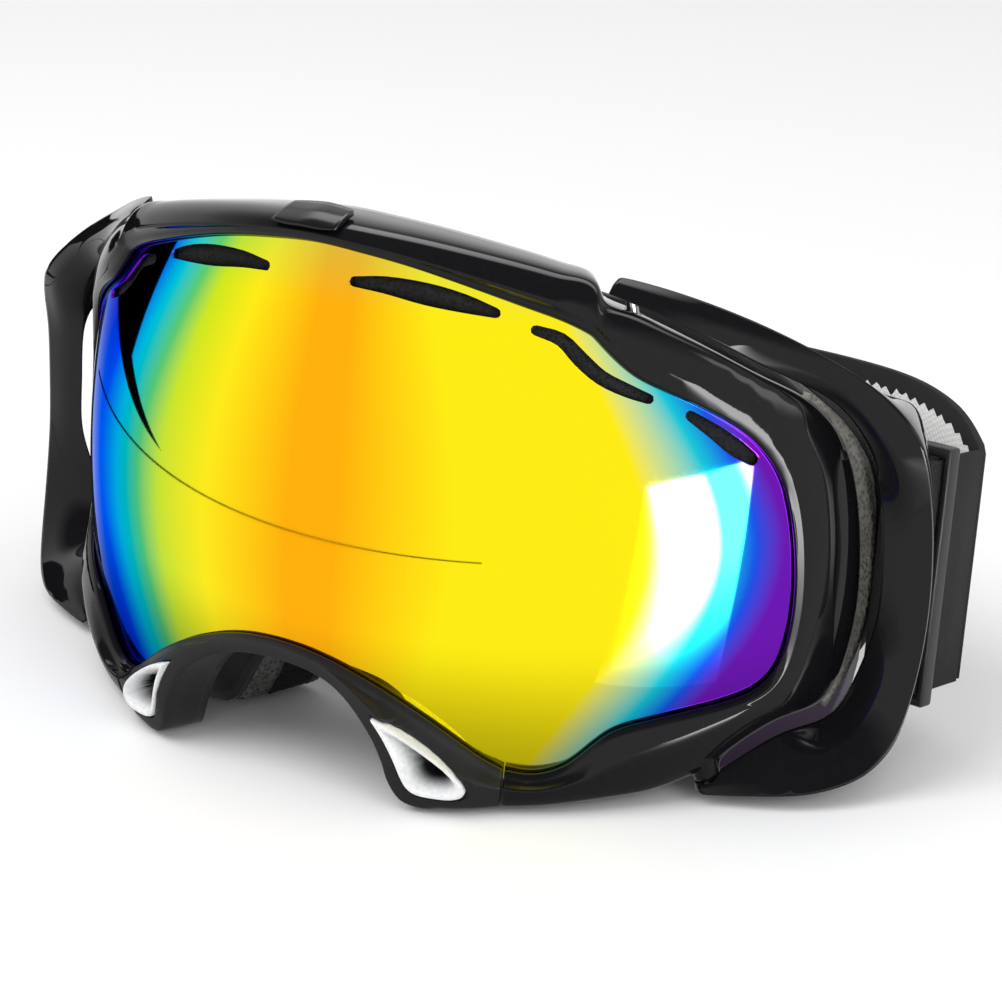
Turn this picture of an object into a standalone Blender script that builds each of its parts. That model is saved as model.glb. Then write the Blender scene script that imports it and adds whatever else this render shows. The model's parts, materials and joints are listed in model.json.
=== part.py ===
"""Motorcycle goggles with a wrapped mirror lens, hinged strap outriggers and an elastic strap.

Sizes are millimetres in the goggle's own frame: X to the wearer's left, front towards -Y,
Z up, with the lens apex at the origin. The parent empty leans the goggle back on the floor.
"""
from math import cos, hypot, radians, sin, sqrt, tan

import bmesh
import bpy
from mathutils import Matrix, Vector

MM = 0.001

# Lens stack: radii of the wrapped lens, then what lies behind it
LENS_RADIUS_H = 90.0
LENS_RADIUS_V = 190.0
LENS_THICKNESS = 1.0
INNER_LENS_THICKNESS = 0.8
GASKET_THICKNESS = 2.4
LENS_SEAT = 2.0
FIT = 0.3
BEND_STEP_S = 6.5
BEND_STEP_Z = 12.0

# Rim section
LIP = 1.0
BEAD = 2.3
RIM_WALL = 2.0
CREST_AT = 0.34
NOSE_SPLIT = 44.45

# Chassis and face padding
FLANGE_THICKNESS = 2.0
PAD_WIDTH = 10.0
FACE_DEPTH = 21.5
FACE_RADIUS = 95.0
FACE_SLOPE = 0.1
FACE_PIVOT = -25.0
GREY_FOAM = 5.5
BLACK_FOAM = 8.0
FLEECE = 2.5
NOSE_PINCH = 0.34
VENT_FOAM_DEPTH = 2.2
VENT_FOAM_WIDTH = 2.2
SIDE_FOAM_PROUD = 4.2
PINCH_BELOW = -20.0
PINCH_REACH = 34.0
PINCH_FADE = 14.0
DROOP = 0.3
DROOP_FROM = 5.0
DROOP_FADE = 20.0
FLANGE_STEP = 5.5
INNER_STEP = 7.8
SEAT_GAP = 0.5
SEAT_SECTION = [(-1.2, 2.2), (-1.2, 0.0), (LENS_SEAT - FIT, 0.0), (LENS_SEAT - FIT, 1.4), (0.9, 2.0)]
NOSE_INSET = 0.5
SIDE_FOAM_ROWS = (19, 24)
TOP_FOAM_ROWS = (32, 35)

# Nose vents
VENT_MOUTH = 0.8
VENT_REACH = 4.5
VENT_PROUD = 0.4
VENT_BACK = -1.5
VENT_THROAT = (33.0, -40.0)
VENT_THROAT_R = 1.6
POCKET_SPAN = (-16.0, 14.0)

# Foam behind the lens slots
SLOT_FOAM_THICKNESS = 1.6
SLOT_FOAM_HALF = 2.3
SLOT_CUT = (3.0, -4.0)

# Brow plate: a bare plate where such goggles carry a badge
PLATE_HALF_LENGTH = 8.5
PLATE_THICKNESS = 1.0
PLATE_ROLL = (14.0, 80.0)

# Outrigger hinge: the axis runs beside the front corners of the arm's tip and the hook's tip
HINGE_TOP_FROM_ARM = (2.0, 4.5, -0.2)
HINGE_FOOT_FROM_ARM = (0.7, 2.6, -0.1)
PIN_RADIUS = 1.0
PIN_FIT = 0.2
PIN_TOP_SPAN = (-4.4, 0.2)
PIN_FOOT_SPAN = (-1.45, 4.4)
LUG_RADIUS = 2.4
LUG_HEIGHT = 5.2
EYE_HEIGHT = 1.6
EYE_TRIM = 0.1
LUG_ROOM = 12.0
ARM_ROUND = 0.24
ARM_BULGE = 0.08

# Strap, its bar in the outrigger and its slider
STRAP_WIDTH = 43.4
STRAP_THICKNESS = 1.6
STRAP_MIDDLE = -5.5
STRAP_REAR_MIDDLE = 4.5
STRAP_SWEEP = 12
BAR_SECTION = 9
BAR_FROM_ARM = (-0.1, 7.6)
BAR_RADIUS = 1.6
BAR_SPAN = (-31.0, 23.4)
SLIDER_RING = 2.0
SLIDER_WALL = 1.3
SLIDER_DEPTH = 3.4
SLIDER_AT = 0.4

# Pose on the floor
LEAN_DEG = 8.0
STEPS = 2
SOFT_STEPS = 1

# Stations round the goggle, from the middle of the nose to the middle of the brow:
# lens edge (s, z), outer edge of bridge or rim (s, z), back edge of the chassis (x, z).
# s is the arc length along the lens.
STATIONS = [
    (0.0, -22.6, 0.0, -26.3, 0.0, -25.5),
    (6.0, -23.0, 5.6, -26.6, 5.4, -26.1),
    (12.0, -24.3, 10.8, -27.9, 10.2, -28.0),
    (17.0, -26.0, 15.4, -30.0, 14.4, -31.2),
    (20.8, -27.5, 19.2, -33.4, 17.4, -35.2),
    (24.4, -29.2, 22.2, -38.0, 19.8, -40.0),
    (28.0, -31.1, 24.4, -43.3, 22.0, -44.6),
    (31.8, -33.2, 27.2, -47.6, 26.0, -47.0),
    (36.0, -35.8, 33.6, -48.0, 32.0, -47.4),
    (40.4, -38.5, 39.6, -47.6, 38.0, -47.2),
    (NOSE_SPLIT, -40.3, NOSE_SPLIT, -46.9, 43.0, -46.8),
    (50.0, -40.8, 51.0, -46.3, 49.0, -45.8),
    (55.6, -38.6, 58.0, -45.2, 55.5, -43.8),
    (59.6, -34.7, 64.6, -44.2, 61.5, -41.0),
    (63.5, -31.4, 71.6, -43.0, 66.0, -37.6),
    (69.5, -29.5, 79.6, -39.8, 70.0, -33.6),
    (77.0, -27.7, 87.4, -34.6, 74.8, -30.4),
    (84.5, -26.1, 96.0, -30.2, 77.8, -26.0),
    (90.5, -23.7, 106.4, -28.6, 79.6, -20.4),
    (93.9, -18.6, 110.4, -20.8, 80.4, -13.6),
    (94.8, -10.0, 111.0, -9.8, 80.6, -6.4),
    (93.9, -0.5, 109.8, 1.0, 80.2, 1.4),
    (91.9, 8.6, 107.6, 11.6, 79.4, 9.0),
    (88.8, 15.4, 103.4, 20.4, 77.4, 16.2),
    (83.6, 20.9, 96.4, 27.0, 73.8, 22.4),
    (76.2, 25.1, 86.0, 31.4, 69.0, 28.0),
    (68.6, 28.3, 77.2, 35.4, 63.4, 32.6),
    (62.2, 30.8, 69.0, 38.8, 57.8, 35.6),
    (57.6, 34.1, 61.2, 41.6, 53.0, 37.6),
    (54.6, 36.8, 55.8, 43.2, 50.0, 38.9),
    (53.4, 37.7, 54.4, 46.6, 48.2, 39.5),
    (48.4, 39.6, 49.0, 47.6, 44.2, 40.6),
    (42.0, 41.2, 42.6, 48.8, 38.4, 41.8),
    (31.0, 43.8, 31.4, 50.4, 28.4, 44.0),
    (18.0, 46.2, 18.2, 51.8, 16.6, 46.4),
    (0.0, 47.8, 0.0, 52.8, 0.0, 47.8),
]
NOSE_ROWS = 11

# Stand-off from the lens at some of those stations: crest, outer edge, back of the wall
HEIGHTS = [
    (0, 1.8, 1.0, -7.0),
    (2, 2.2, 1.4, -6.5),
    (4, 5.2, 4.6, -5.5),
    (6, 6.6, 6.2, -3.4),
    (8, 6.2, 5.6, -3.0),
    (10, 4.6, 3.2, -3.0),
    (13, 4.2, 2.4, -2.5),
    (15, 4.0, 2.2, -2.5),
    (17, 2.8, 1.0, -2.6),
    (19, 1.6, -0.6, -2.8),
    (22, 1.4, -0.8, -3.0),
    (24, 2.0, 0.0, -3.4),
    (26, 3.0, 0.8, -4.6),
    (28, 3.4, 1.0, -7.0),
    (30, 3.6, 0.0, -8.0),
    (31, 3.8, -1.0, -9.0),
    (35, 4.2, -3.5, -11.0),
]

# Lens slots on one side: middle line (s, z, half width)
SLOTS = [
    [(9.6, 42.0, 0.9), (16.0, 42.2, 1.5), (24.0, 41.6, 1.9), (31.0, 40.8, 1.6), (36.8, 39.8, 0.9)],
    [(44.0, 37.6, 0.9), (48.6, 36.4, 1.2), (52.2, 33.4, 1.4), (56.0, 30.6, 1.3),
     (60.6, 28.7, 1.2), (64.6, 27.4, 0.9)],
    [(72.0, 24.9, 0.9), (76.4, 22.3, 1.3), (80.6, 19.6, 1.6), (84.2, 17.4, 1.2)],
]
SLOT_FOAM_LINE = [(6.4, 42.1), (16.0, 42.2), (27.0, 41.3), (37.0, 39.6), (44.6, 37.3), (49.4, 35.2),
                  (53.4, 32.0), (58.4, 29.2), (66.0, 26.6), (74.6, 22.9), (80.6, 19.5), (85.6, 16.1)]

# Nose vent on one side: outline of its rim (s, z)
VENT_OUTLINE = [(21.6, -31.8), (24.9, -32.8), (29.2, -35.2), (33.6, -38.1), (37.1, -41.1), (38.3, -43.5),
                (37.0, -45.2), (33.2, -45.5), (29.4, -45.2), (27.4, -43.4), (25.8, -39.4), (23.6, -34.8)]

# Outrigger sections from the arm's tip to the hook's tip: station that the front corner stands
# beside, its reach past the rim, stand-off and drop, then the outer and inner corner from it (x, y, z)
ARM_SECTIONS = [
    (29, (1.2, 0.8, 0.0), (0.0, 4.4, 3.0), (0.4, 4.6, -0.9)),
    (28, (0.9, 1.2, 0.0), (1.0, 6.0, 3.6), (0.6, 6.4, 0.3)),
    (27, (0.9, 1.2, 0.0), (2.2, 6.6, 4.2), (1.6, 8.4, 0.0)),
    (26, (0.9, 1.2, 0.0), (4.2, 6.4, 4.6), (2.0, 9.6, -0.4)),
    (25, (0.9, 1.2, 0.0), (7.6, 4.4, 4.6), (3.0, 10.0, -0.6)),
    (24, (0.4, 2.6, 0.0), (10.4, 0.6, 3.6), (5.0, 12.0, 0.8)),
    (23, (-1.8, 5.0, 0.0), (13.4, -1.8, 3.2), (2.6, 21.5, 5.2)),
    (22, (-2.2, 6.0, 0.0), (11.4, 0.2, 1.0), (6.0, 5.2, 3.6)),
    (21, (-3.0, 6.0, 0.0), (11.3, 1.0, -0.4), (6.0, 5.2, 0.0)),
    (20, (-3.4, 6.2, 0.0), (11.0, 0.8, -2.0), (6.0, 5.0, -1.6)),
    (19, (-1.5, 2.6, 0.0), (13.7, -4.7, -6.4), (7.5, 0.1, -10.2)),
    (18, (-2.0, 1.4, 2.0), (13.8, -7.5, -7.4), (8.9, 16.5, -5.2)),
    (17, (-1.2, 1.6, 1.6), (11.2, -5.0, -9.8), (5.6, 6.4, -6.6)),
    (16, (-0.4, 2.2, 1.4), (6.7, -3.0, -6.4), (4.3, 4.2, -4.4)),
    (15, (0.4, 2.6, 0.7), (1.6, -1.2, -2.3), (2.6, 3.4, -0.6)),
]

# Plan of one strap end in (x, y): fold from the bar, and how far the doubled run reaches back
FOLD_FROM_BAR = (3.8, 19.1)
TAIL_SHARE = 0.9

# Plan of the rear run: share of the fold's x, and depth behind the fold
REAR_RUN = [(0.911, 5.4), (0.745, 10.4), (0.538, 14.6), (0.269, 17.8), (0.0, 19.0)]


def clear_scene():
    """Start from an empty scene."""
    for obj in list(bpy.data.objects):
        bpy.data.objects.remove(obj, do_unlink=True)


def material(name, color, roughness, metallic=0.0):
    """A plain Principled material."""
    mat = bpy.data.materials.new(name)
    mat.use_nodes = True
    shader = mat.node_tree.nodes["Principled BSDF"]
    shader.inputs["Base Color"].default_value = (*color, 1.0)
    shader.inputs["Roughness"].default_value = roughness
    shader.inputs["Metallic"].default_value = metallic
    return mat


def sag(z):
    """How far the lens falls back at height z."""
    return LENS_RADIUS_V - sqrt(LENS_RADIUS_V ** 2 - z * z)


def wrap(s, z, d):
    """Point at arc length s and height z, standing d in front of the lens."""
    r = LENS_RADIUS_H - sag(z) + d
    a = s / LENS_RADIUS_H
    return Vector((r * sin(a), LENS_RADIUS_H - r * cos(a), z))


def smooth(rows, steps):
    """Smooth curve through rows of numbers, spaced by their first two columns."""
    knots = [0.0]
    for a, b in zip(rows, rows[1:]):
        knots.append(knots[-1] + hypot(b[0] - a[0], b[1] - a[1]))
    slopes = []
    for i in range(len(rows)):
        lo, hi = max(i - 1, 0), min(i + 1, len(rows) - 1)
        slopes.append([(q - p) / (knots[hi] - knots[lo]) for p, q in zip(rows[lo], rows[hi])])
    out = []
    for i in range(len(rows) - 1):
        span = knots[i + 1] - knots[i]
        for k in range(steps):
            t = k / steps
            h = (2 * t ** 3 - 3 * t * t + 1, t ** 3 - 2 * t * t + t, 3 * t * t - 2 * t ** 3, t ** 3 - t * t)
            out.append(tuple(h[0] * p + h[1] * span * m + h[2] * q + h[3] * span * n
                             for p, q, m, n in zip(rows[i], rows[i + 1], slopes[i], slopes[i + 1])))
    out.append(tuple(rows[-1]))
    return out


def heights_at(row):
    """Crest, outer and back stand-off at a station number."""
    for (i, *lo), (j, *hi) in zip(HEIGHTS, HEIGHTS[1:]):
        if row <= j:
            t = (row - i) / (j - i)
            return [p + (q - p) * t for p, q in zip(lo, hi)]
    return list(HEIGHTS[-1][1:])


def full_rows():
    """All stations of one side with their heights."""
    return [tuple(row) + tuple(heights_at(i)) for i, row in enumerate(STATIONS)]


def mirror_row(row):
    """The same station on the other side."""
    return (-row[0], row[1], -row[2], row[3], -row[4], row[5], *row[6:])


def ring_stations(steps):
    """Closed ring of smoothed stations, nose middle first, right side first."""
    half = smooth(full_rows(), steps)
    return half + [mirror_row(r) for r in half[-2:0:-1]]


def across(row, distance):
    """Point (s, z) on the line from the lens edge to the outer edge."""
    t = distance / hypot(row[2] - row[0], row[3] - row[1])
    return row[0] + (row[2] - row[0]) * t, row[1] + (row[3] - row[1]) * t


def edge_normals(points, reach=1):
    """Outward unit normals of a closed outline that runs counter-clockwise."""
    out = []
    for i in range(len(points)):
        a, b = points[i - reach], points[(i + reach) % len(points)]
        ds, dz = b[0] - a[0], b[1] - a[1]
        length = hypot(ds, dz)
        out.append((dz / length, -ds / length))
    return out


def new_object(name, bm, mat):
    """Mesh object in millimetres turned into metres, faces outward."""
    bmesh.ops.recalc_face_normals(bm, faces=bm.faces)
    bmesh.ops.scale(bm, vec=(MM, MM, MM), verts=bm.verts)
    mesh = bpy.data.meshes.new(name)
    bm.to_mesh(mesh)
    bm.free()
    mesh.materials.append(mat)
    obj = bpy.data.objects.new(name, mesh)
    bpy.context.scene.collection.objects.link(obj)
    return obj


def loft_mesh(rings, closed):
    """Skin through equal rings; an open loft gets end caps."""
    bm = bmesh.new()
    loops = [[bm.verts.new(p) for p in ring] for ring in rings]
    pairs = list(zip(loops, loops[1:])) + ([(loops[-1], loops[0])] if closed else [])
    for a, b in pairs:
        for i in range(len(a)):
            j = (i + 1) % len(a)
            bm.faces.new((a[i], a[j], b[j], b[i]))
    if not closed:
        bm.faces.new(loops[0][::-1])
        bm.faces.new(loops[-1])
    return bm


def loft(name, rings, mat, closed=False):
    """Object skinned through rings; a closed one is in triangles, so that parallel skins match."""
    bm = loft_mesh(rings, closed)
    if closed:
        bmesh.ops.triangulate(bm, faces=bm.faces)
    return new_object(name, bm, mat)


def flip_x(rings):
    """Rings mirrored to the other side."""
    return [[Vector((-p.x, p.y, p.z)) for p in ring] for ring in rings]


def sided(rings, side):
    """Rings as built for the right, or mirrored for the left."""
    return rings if side == "right" else flip_x(rings)


def boolean(obj, tool, operation):
    """Apply a Boolean with a tool object and remove the tool."""
    mod = obj.modifiers.new("tool", "BOOLEAN")
    mod.operation = operation
    mod.solver = "EXACT"
    mod.object = tool
    bpy.context.view_layer.objects.active = obj
    bpy.ops.object.modifier_apply(modifier=mod.name)
    bpy.data.objects.remove(tool, do_unlink=True)


def cylinder(name, start, end, radius, mat, sides=16):
    """Closed round bar between two points."""
    axis = end - start
    bm = bmesh.new()
    bmesh.ops.create_cone(bm, cap_ends=True, segments=sides, radius1=radius, radius2=radius,
                          depth=axis.length)
    turn = axis.to_track_quat("Z", "Y").to_matrix().to_4x4()
    bmesh.ops.transform(bm, matrix=Matrix.Translation((start + end) / 2) @ turn, verts=bm.verts)
    return new_object(name, bm, mat)


def rim_width(row):
    """Distance from the lens edge to the outer edge."""
    return hypot(row[2] - row[0], row[3] - row[1])


def rim_point(row, distance, d):
    """Point at a distance across the rim and a stand-off d."""
    return wrap(*across(row, distance), d)


def rim_roll(row, angle, lift=0.0):
    """Point on the rim's rolled front, from the crest (0 degrees) to the outer edge (90)."""
    crest, outer = row[6], row[7]
    a = radians(angle)
    reach = rim_width(row) * (CREST_AT + (1 - CREST_AT) * sin(a)) + lift * sin(a)
    return rim_point(row, reach, outer + (crest - outer) * cos(a) + lift * cos(a))


def rim_section(row):
    """Closed section: lip over the lens, bead, rolled front, outer wall, lens pocket."""
    width = rim_width(row)
    pocket = LENS_SEAT + FIT
    inner_wall = max(width - RIM_WALL, pocket + 0.3)
    bead = min(BEAD, row[6])
    back, under = row[8], FIT - 0.6
    return [
        rim_point(row, 0.0, FIT), rim_point(row, 0.0, LIP),
        rim_point(row, min(0.7, width * 0.15), bead - 0.35), rim_point(row, min(1.6, width * 0.3), bead),
        rim_roll(row, 0), rim_roll(row, 30), rim_roll(row, 60), rim_roll(row, 90),
        rim_point(row, width - 0.2, back), rim_point(row, inner_wall, back),
        rim_point(row, inner_wall, under), rim_point(row, pocket, under), rim_point(row, pocket, FIT),
    ]


def build_frame(mat):
    """Rigid gloss frame: an open ring from one side of the nose over the brow to the other."""
    half = smooth(full_rows()[NOSE_ROWS - 1:], STEPS)
    rows = half + [mirror_row(r) for r in half[-2::-1]]
    shift = FIT / 2
    rings = [rim_section(r) for r in rows]
    rings[0] = [p + Vector((shift, 0, 0)) for p in rings[0]]
    rings[-1] = [p - Vector((shift, 0, 0)) for p in rings[-1]]
    return loft("front_frame", rings, mat)


def build_nose(mat):
    """Soft nose bridge with two flares; the vent pockets are cut through."""
    half = smooth(full_rows()[:NOSE_ROWS], STEPS)
    rows = [mirror_row(r) for r in half[:0:-1]] + half
    rings = [rim_section(r) for r in rows]
    shift = FIT / 2
    rings[0] = [p + Vector((shift, 0, 0)) for p in rings[0]]
    rings[-1] = [p - Vector((shift, 0, 0)) for p in rings[-1]]
    nose = loft("nose_bridge", rings, mat)
    pocket = shrink(vent_loop(), 1 + FIT / VENT_REACH)
    rings = [[wrap(s, z, d) for s, z in pocket] for d in POCKET_SPAN]
    tool = loft("vent_pockets", rings, mat)
    boolean(tool, loft("vent_pocket", flip_x(rings), mat), "UNION")
    boolean(nose, tool, "DIFFERENCE")
    return nose


def vent_loop():
    """Smoothed outline of a nose vent, counter-clockwise."""
    loop = smooth(VENT_OUTLINE + VENT_OUTLINE[:1], 2)[:-1]
    return loop[::-1]


def centre(loop):
    """Mean point of an outline."""
    return sum(p[0] for p in loop) / len(loop), sum(p[1] for p in loop) / len(loop)


def shrink(loop, share):
    """Outline drawn in towards its centre."""
    cs, cz = centre(loop)
    return [(cs + (s - cs) * share, cz + (z - cz) * share) for s, z in loop]


def build_vent(side, mat):
    """White funnel: rim, tapering throat and a small through hole."""
    outer = vent_loop()
    inner = shrink(outer, VENT_MOUTH)
    middle = centre(outer)
    throat = []
    for s, z in inner:
        reach = hypot(s - middle[0], z - middle[1])
        throat.append((VENT_THROAT[0] + (s - middle[0]) * VENT_THROAT_R / reach,
                       VENT_THROAT[1] + (z - middle[1]) * VENT_THROAT_R / reach))
    front = heights_at(7)[0] + VENT_PROUD
    rings = [[wrap(s, z, d) for s, z in loop] for loop, d in (
        (outer, VENT_BACK), (outer, front - 0.4), (shrink(outer, 0.95), front),
        (inner, front - 0.1), (throat, VENT_BACK + 1.5), (throat, VENT_BACK))]
    return loft("nose_vent_" + side, sided(rings, side), mat, closed=True)


def flat_plate(name, outline, front, back, mat):
    """Plate cut flat: x is arc length, y is minus the stand-off."""
    bm = bmesh.new()
    face = bm.faces.new([bm.verts.new((s, -front, z)) for s, z in outline])
    extruded = bmesh.ops.extrude_face_region(bm, geom=[face])
    moved = [v for v in extruded["geom"] if isinstance(v, bmesh.types.BMVert)]
    bmesh.ops.translate(bm, vec=(0, front - back, 0), verts=moved)
    return new_object(name, bm, mat)


def thermoform(obj, step_s, step_z):
    """Score a flat plate into strips and bend it onto the lens form."""
    bm = bmesh.new()
    bm.from_mesh(obj.data)
    bmesh.ops.scale(bm, vec=(1 / MM, 1 / MM, 1 / MM), verts=bm.verts)
    reach = max(abs(v.co.x) for v in bm.verts)
    tall = max(abs(v.co.z) for v in bm.verts)
    cuts = [(Vector((k * step_s, 0, 0)), Vector((1, 0, 0)))
            for k in range(-int(reach / step_s), int(reach / step_s) + 1)]
    cuts += [(Vector((0, 0, k * step_z)), Vector((0, 0, 1)))
             for k in range(-int(tall / step_z), int(tall / step_z) + 1)]
    for co, normal in cuts:
        bmesh.ops.bisect_plane(bm, geom=bm.verts[:] + bm.edges[:] + bm.faces[:], dist=0.0001,
                               plane_co=co, plane_no=normal)
    for v in bm.verts:
        v.co = wrap(v.co.x, v.co.z, -v.co.y)
    bmesh.ops.recalc_face_normals(bm, faces=bm.faces)
    bmesh.ops.scale(bm, vec=(MM, MM, MM), verts=bm.verts)
    bm.to_mesh(obj.data)
    bm.free()
    return obj


def lens_outline():
    """Outline of both lenses: the opening plus the seat under the rim."""
    return [across(r, LENS_SEAT) for r in ring_stations(STEPS)]


def round_strip(line, widths):
    """Outline of a strip with round ends along a middle line."""
    left, right = [], []
    for i, (s, z) in enumerate(line):
        a, b = line[max(i - 1, 0)], line[min(i + 1, len(line) - 1)]
        length = hypot(b[0] - a[0], b[1] - a[1])
        ns, nz = -(b[1] - a[1]) / length, (b[0] - a[0]) / length
        left.append((s + ns * widths[i], z + nz * widths[i]))
        right.append((s - ns * widths[i], z - nz * widths[i]))
    far, near = end_arc(line[-2], line[-1], widths[-1]), end_arc(line[1], line[0], widths[0])
    return right + far + left[::-1] + near


def end_arc(before, tip, radius):
    """Round end of a strip, without its two corner points."""
    length = hypot(tip[0] - before[0], tip[1] - before[1])
    ts, tz = (tip[0] - before[0]) / length, (tip[1] - before[1]) / length
    return [(tip[0] + radius * (ts * sin(a) + tz * cos(a)), tip[1] + radius * (tz * sin(a) - ts * cos(a)))
            for a in (radians(45), radians(90), radians(135))]


def build_outer_lens(mat):
    """Mirror lens with three vent slots on each side of the brow."""
    lens = flat_plate("outer_lens", lens_outline(), 0.0, -LENS_THICKNESS, mat)
    for slot in SLOTS:
        curve = smooth(slot, 3)
        outline = round_strip([(p[0], p[1]) for p in curve], [p[2] for p in curve])
        for sign in (1, -1):
            tool = flat_plate("slot", [(sign * s, z) for s, z in outline], *SLOT_CUT, mat)
            boolean(lens, tool, "DIFFERENCE")
    return thermoform(lens, BEND_STEP_S, BEND_STEP_Z)


def gasket_front():
    """Stand-off of the gasket's front face."""
    return -LENS_THICKNESS - FIT


def inner_lens_front():
    """Stand-off of the inner lens's front face."""
    return gasket_front() - GASKET_THICKNESS - FIT


def chassis_front():
    """Stand-off of the chassis's lens seat."""
    return inner_lens_front() - INNER_LENS_THICKNESS - SEAT_GAP


def build_inner_lens(mat):
    """Clear inner lens of the same outline."""
    front = inner_lens_front()
    lens = flat_plate("inner_lens", lens_outline(), front, front - INNER_LENS_THICKNESS, mat)
    return thermoform(lens, BEND_STEP_S, BEND_STEP_Z)


def build_gasket(mat):
    """Foam spacer between the lenses, under the rim's lip."""
    front = gasket_front()
    back = front - GASKET_THICKNESS
    rings = [[rim_point(r, 0.2, front), rim_point(r, LENS_SEAT - 0.1, front),
              rim_point(r, LENS_SEAT - 0.1, back), rim_point(r, 0.2, back)] for r in ring_stations(STEPS)]
    return loft("lens_gasket", rings, mat, closed=True)


def build_slot_foam(side, mat):
    """Foam strip that screens the lens slots from behind."""
    line = smooth(SLOT_FOAM_LINE, 2)
    outline = round_strip(line, [SLOT_FOAM_HALF] * len(line))
    sign = 1 if side == "right" else -1
    front = -LENS_THICKNESS - FIT
    foam = flat_plate("slot_foam_" + side, [(sign * s, z) for s, z in outline],
                      front, front - SLOT_FOAM_THICKNESS, mat)
    return thermoform(foam, BEND_STEP_S, BEND_STEP_Z)


def floor_z(y):
    """Height of the floor under a point at depth y, in the goggle's own frame."""
    tip = wrap(STATIONS[7][2], STATIONS[7][3], heights_at(7)[1])
    return tip.z + (y - tip.y) * tan(radians(LEAN_DEG))


def face_y(x, z):
    """Depth of the chassis's back face: the curve of a face, leaning with the brow."""
    lean = FACE_SLOPE * (z - FACE_PIVOT)
    return FACE_DEPTH + lean + FACE_RADIUS - sqrt(FACE_RADIUS ** 2 - x * x)


def pinch(x, z, share):
    """Draw the padding in at the nose, more towards the face."""
    if z > PINCH_BELOW:
        return x
    near = min(max((PINCH_REACH - abs(x)) / PINCH_FADE, 0.0), 1.0)
    return x * (1 - NOSE_PINCH * share * near)


def droop(z, depth):
    """How much lower the brow's padding lies at a depth behind the chassis."""
    return DROOP * max(depth, 0.0) * min(max((z - DROOP_FROM) / DROOP_FADE, 0.0), 1.0)


def back_loop(depth, inset, steps=SOFT_STEPS):
    """Back outline at a depth behind the chassis, moved inward by an inset."""
    stations = ring_stations(steps)
    share = max(depth, 0.0) / (GREY_FOAM + BLACK_FOAM + FLEECE)
    loop = []
    for i, (row, (ns, nz)) in enumerate(zip(stations, edge_normals(stations, 3 * steps))):
        number = min(i, len(stations) - i) / steps
        step = inset * min(NOSE_INSET + number / (2 * NOSE_ROWS), 1.0)
        x, z = pinch(row[4], row[5], share), row[5] - droop(row[5], depth)
        y = face_y(x, z) + depth
        loop.append(Vector((x - ns * step, y, max(z - nz * step, floor_z(y)))))
    return loop


def build_chassis(mat):
    """Flexible inner frame: lens seat, wall and flange for the face padding."""
    front = chassis_front()
    stations = ring_stations(SOFT_STEPS)
    loops = [[rim_point(r, reach, front - back) for r in stations] for reach, back in SEAT_SECTION]
    loops += [back_loop(-FLANGE_THICKNESS, FLANGE_STEP), back_loop(-FLANGE_THICKNESS, 0.0),
              back_loop(0.0, 0.0), back_loop(0.0, PAD_WIDTH), back_loop(-FLANGE_THICKNESS, PAD_WIDTH),
              back_loop(-FLANGE_THICKNESS, INNER_STEP)]
    return loft("chassis", [list(ring) for ring in zip(*loops)], mat, closed=True)


def build_pad(name, start, thickness, mat, crown=0.0):
    """One layer of face padding, from a depth behind the chassis."""
    end = start + thickness
    loops = [back_loop(start, 0.0), back_loop(end - crown, 0.0)]
    if crown:
        loops += [back_loop(end, crown), back_loop(end, PAD_WIDTH - crown)]
    loops += [back_loop(end - crown, PAD_WIDTH), back_loop(start, PAD_WIDTH)]
    return loft(name, [list(ring) for ring in zip(*loops)], mat, closed=True)


def build_vent_strip(name, rows, proud, mat, side):
    """Vent foam that stands on the chassis flange behind the frame."""
    stations = ring_stations(SOFT_STEPS)
    base = -FLANGE_THICKNESS - FIT
    outer, inner = back_loop(base, FIT - proud), back_loop(base, FIT + VENT_FOAM_WIDTH)
    rings = []
    for i in range(rows[0], rows[1] + 1):
        wall = rim_point(stations[i], rim_width(stations[i]) - RIM_WALL / 2, stations[i][8])
        lift = Vector((0, -max(min(VENT_FOAM_DEPTH, outer[i].y - wall.y - FIT), 1.5), 0))
        rings.append([inner[i], outer[i], outer[i] + lift, inner[i] + lift])
    return loft(name, sided(rings, side), mat)


def build_brow_plate(mat):
    """Bare plate on the middle of the brow."""
    rows = full_rows()[-3:]
    half = [r for r in smooth(rows, 8) if r[0] <= PLATE_HALF_LENGTH]
    stations = [mirror_row(r) for r in half] + half[-2::-1]
    low, high = PLATE_ROLL
    rings = []
    for row in stations:
        taper = 1.0 - 0.45 * (abs(row[0]) / PLATE_HALF_LENGTH) ** 3
        mid, half_roll = (low + high) / 2, (high - low) / 2 * taper
        angles = [mid + half_roll * k for k in (-1, 0, 1)]
        rings.append([rim_roll(row, a, FIT) for a in angles]
                     + [rim_roll(row, a, FIT + PLATE_THICKNESS) for a in angles[::-1]])
    return loft("brow_plate", rings, mat)


def arm_ring(front, outer, inner):
    """Rounded three-cornered section of the outrigger."""
    corners = [Vector(front), Vector(outer), Vector(inner)]
    middle = sum(corners, Vector()) / 3
    ring = []
    for i, here in enumerate(corners):
        before, after = corners[i - 1], corners[(i + 1) % 3]
        ring.append(here.lerp(before, ARM_ROUND))
        ring.append(here.lerp((before + after) / 2, ARM_ROUND * 0.45))
        ring.append(here.lerp(after, ARM_ROUND))
        if i == 0:
            face = (here + after) / 2
            ring.append(face + (face - middle) * ARM_BULGE * 3)
    return ring


def arm_front(section):
    """Front corner of an arm section on the right."""
    number, (reach, stand_off, drop), _, _ = ARM_SECTIONS[section]
    row = full_rows()[number]
    return rim_point(row, rim_width(row) + reach, stand_off) - Vector((0, 0, drop))


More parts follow.
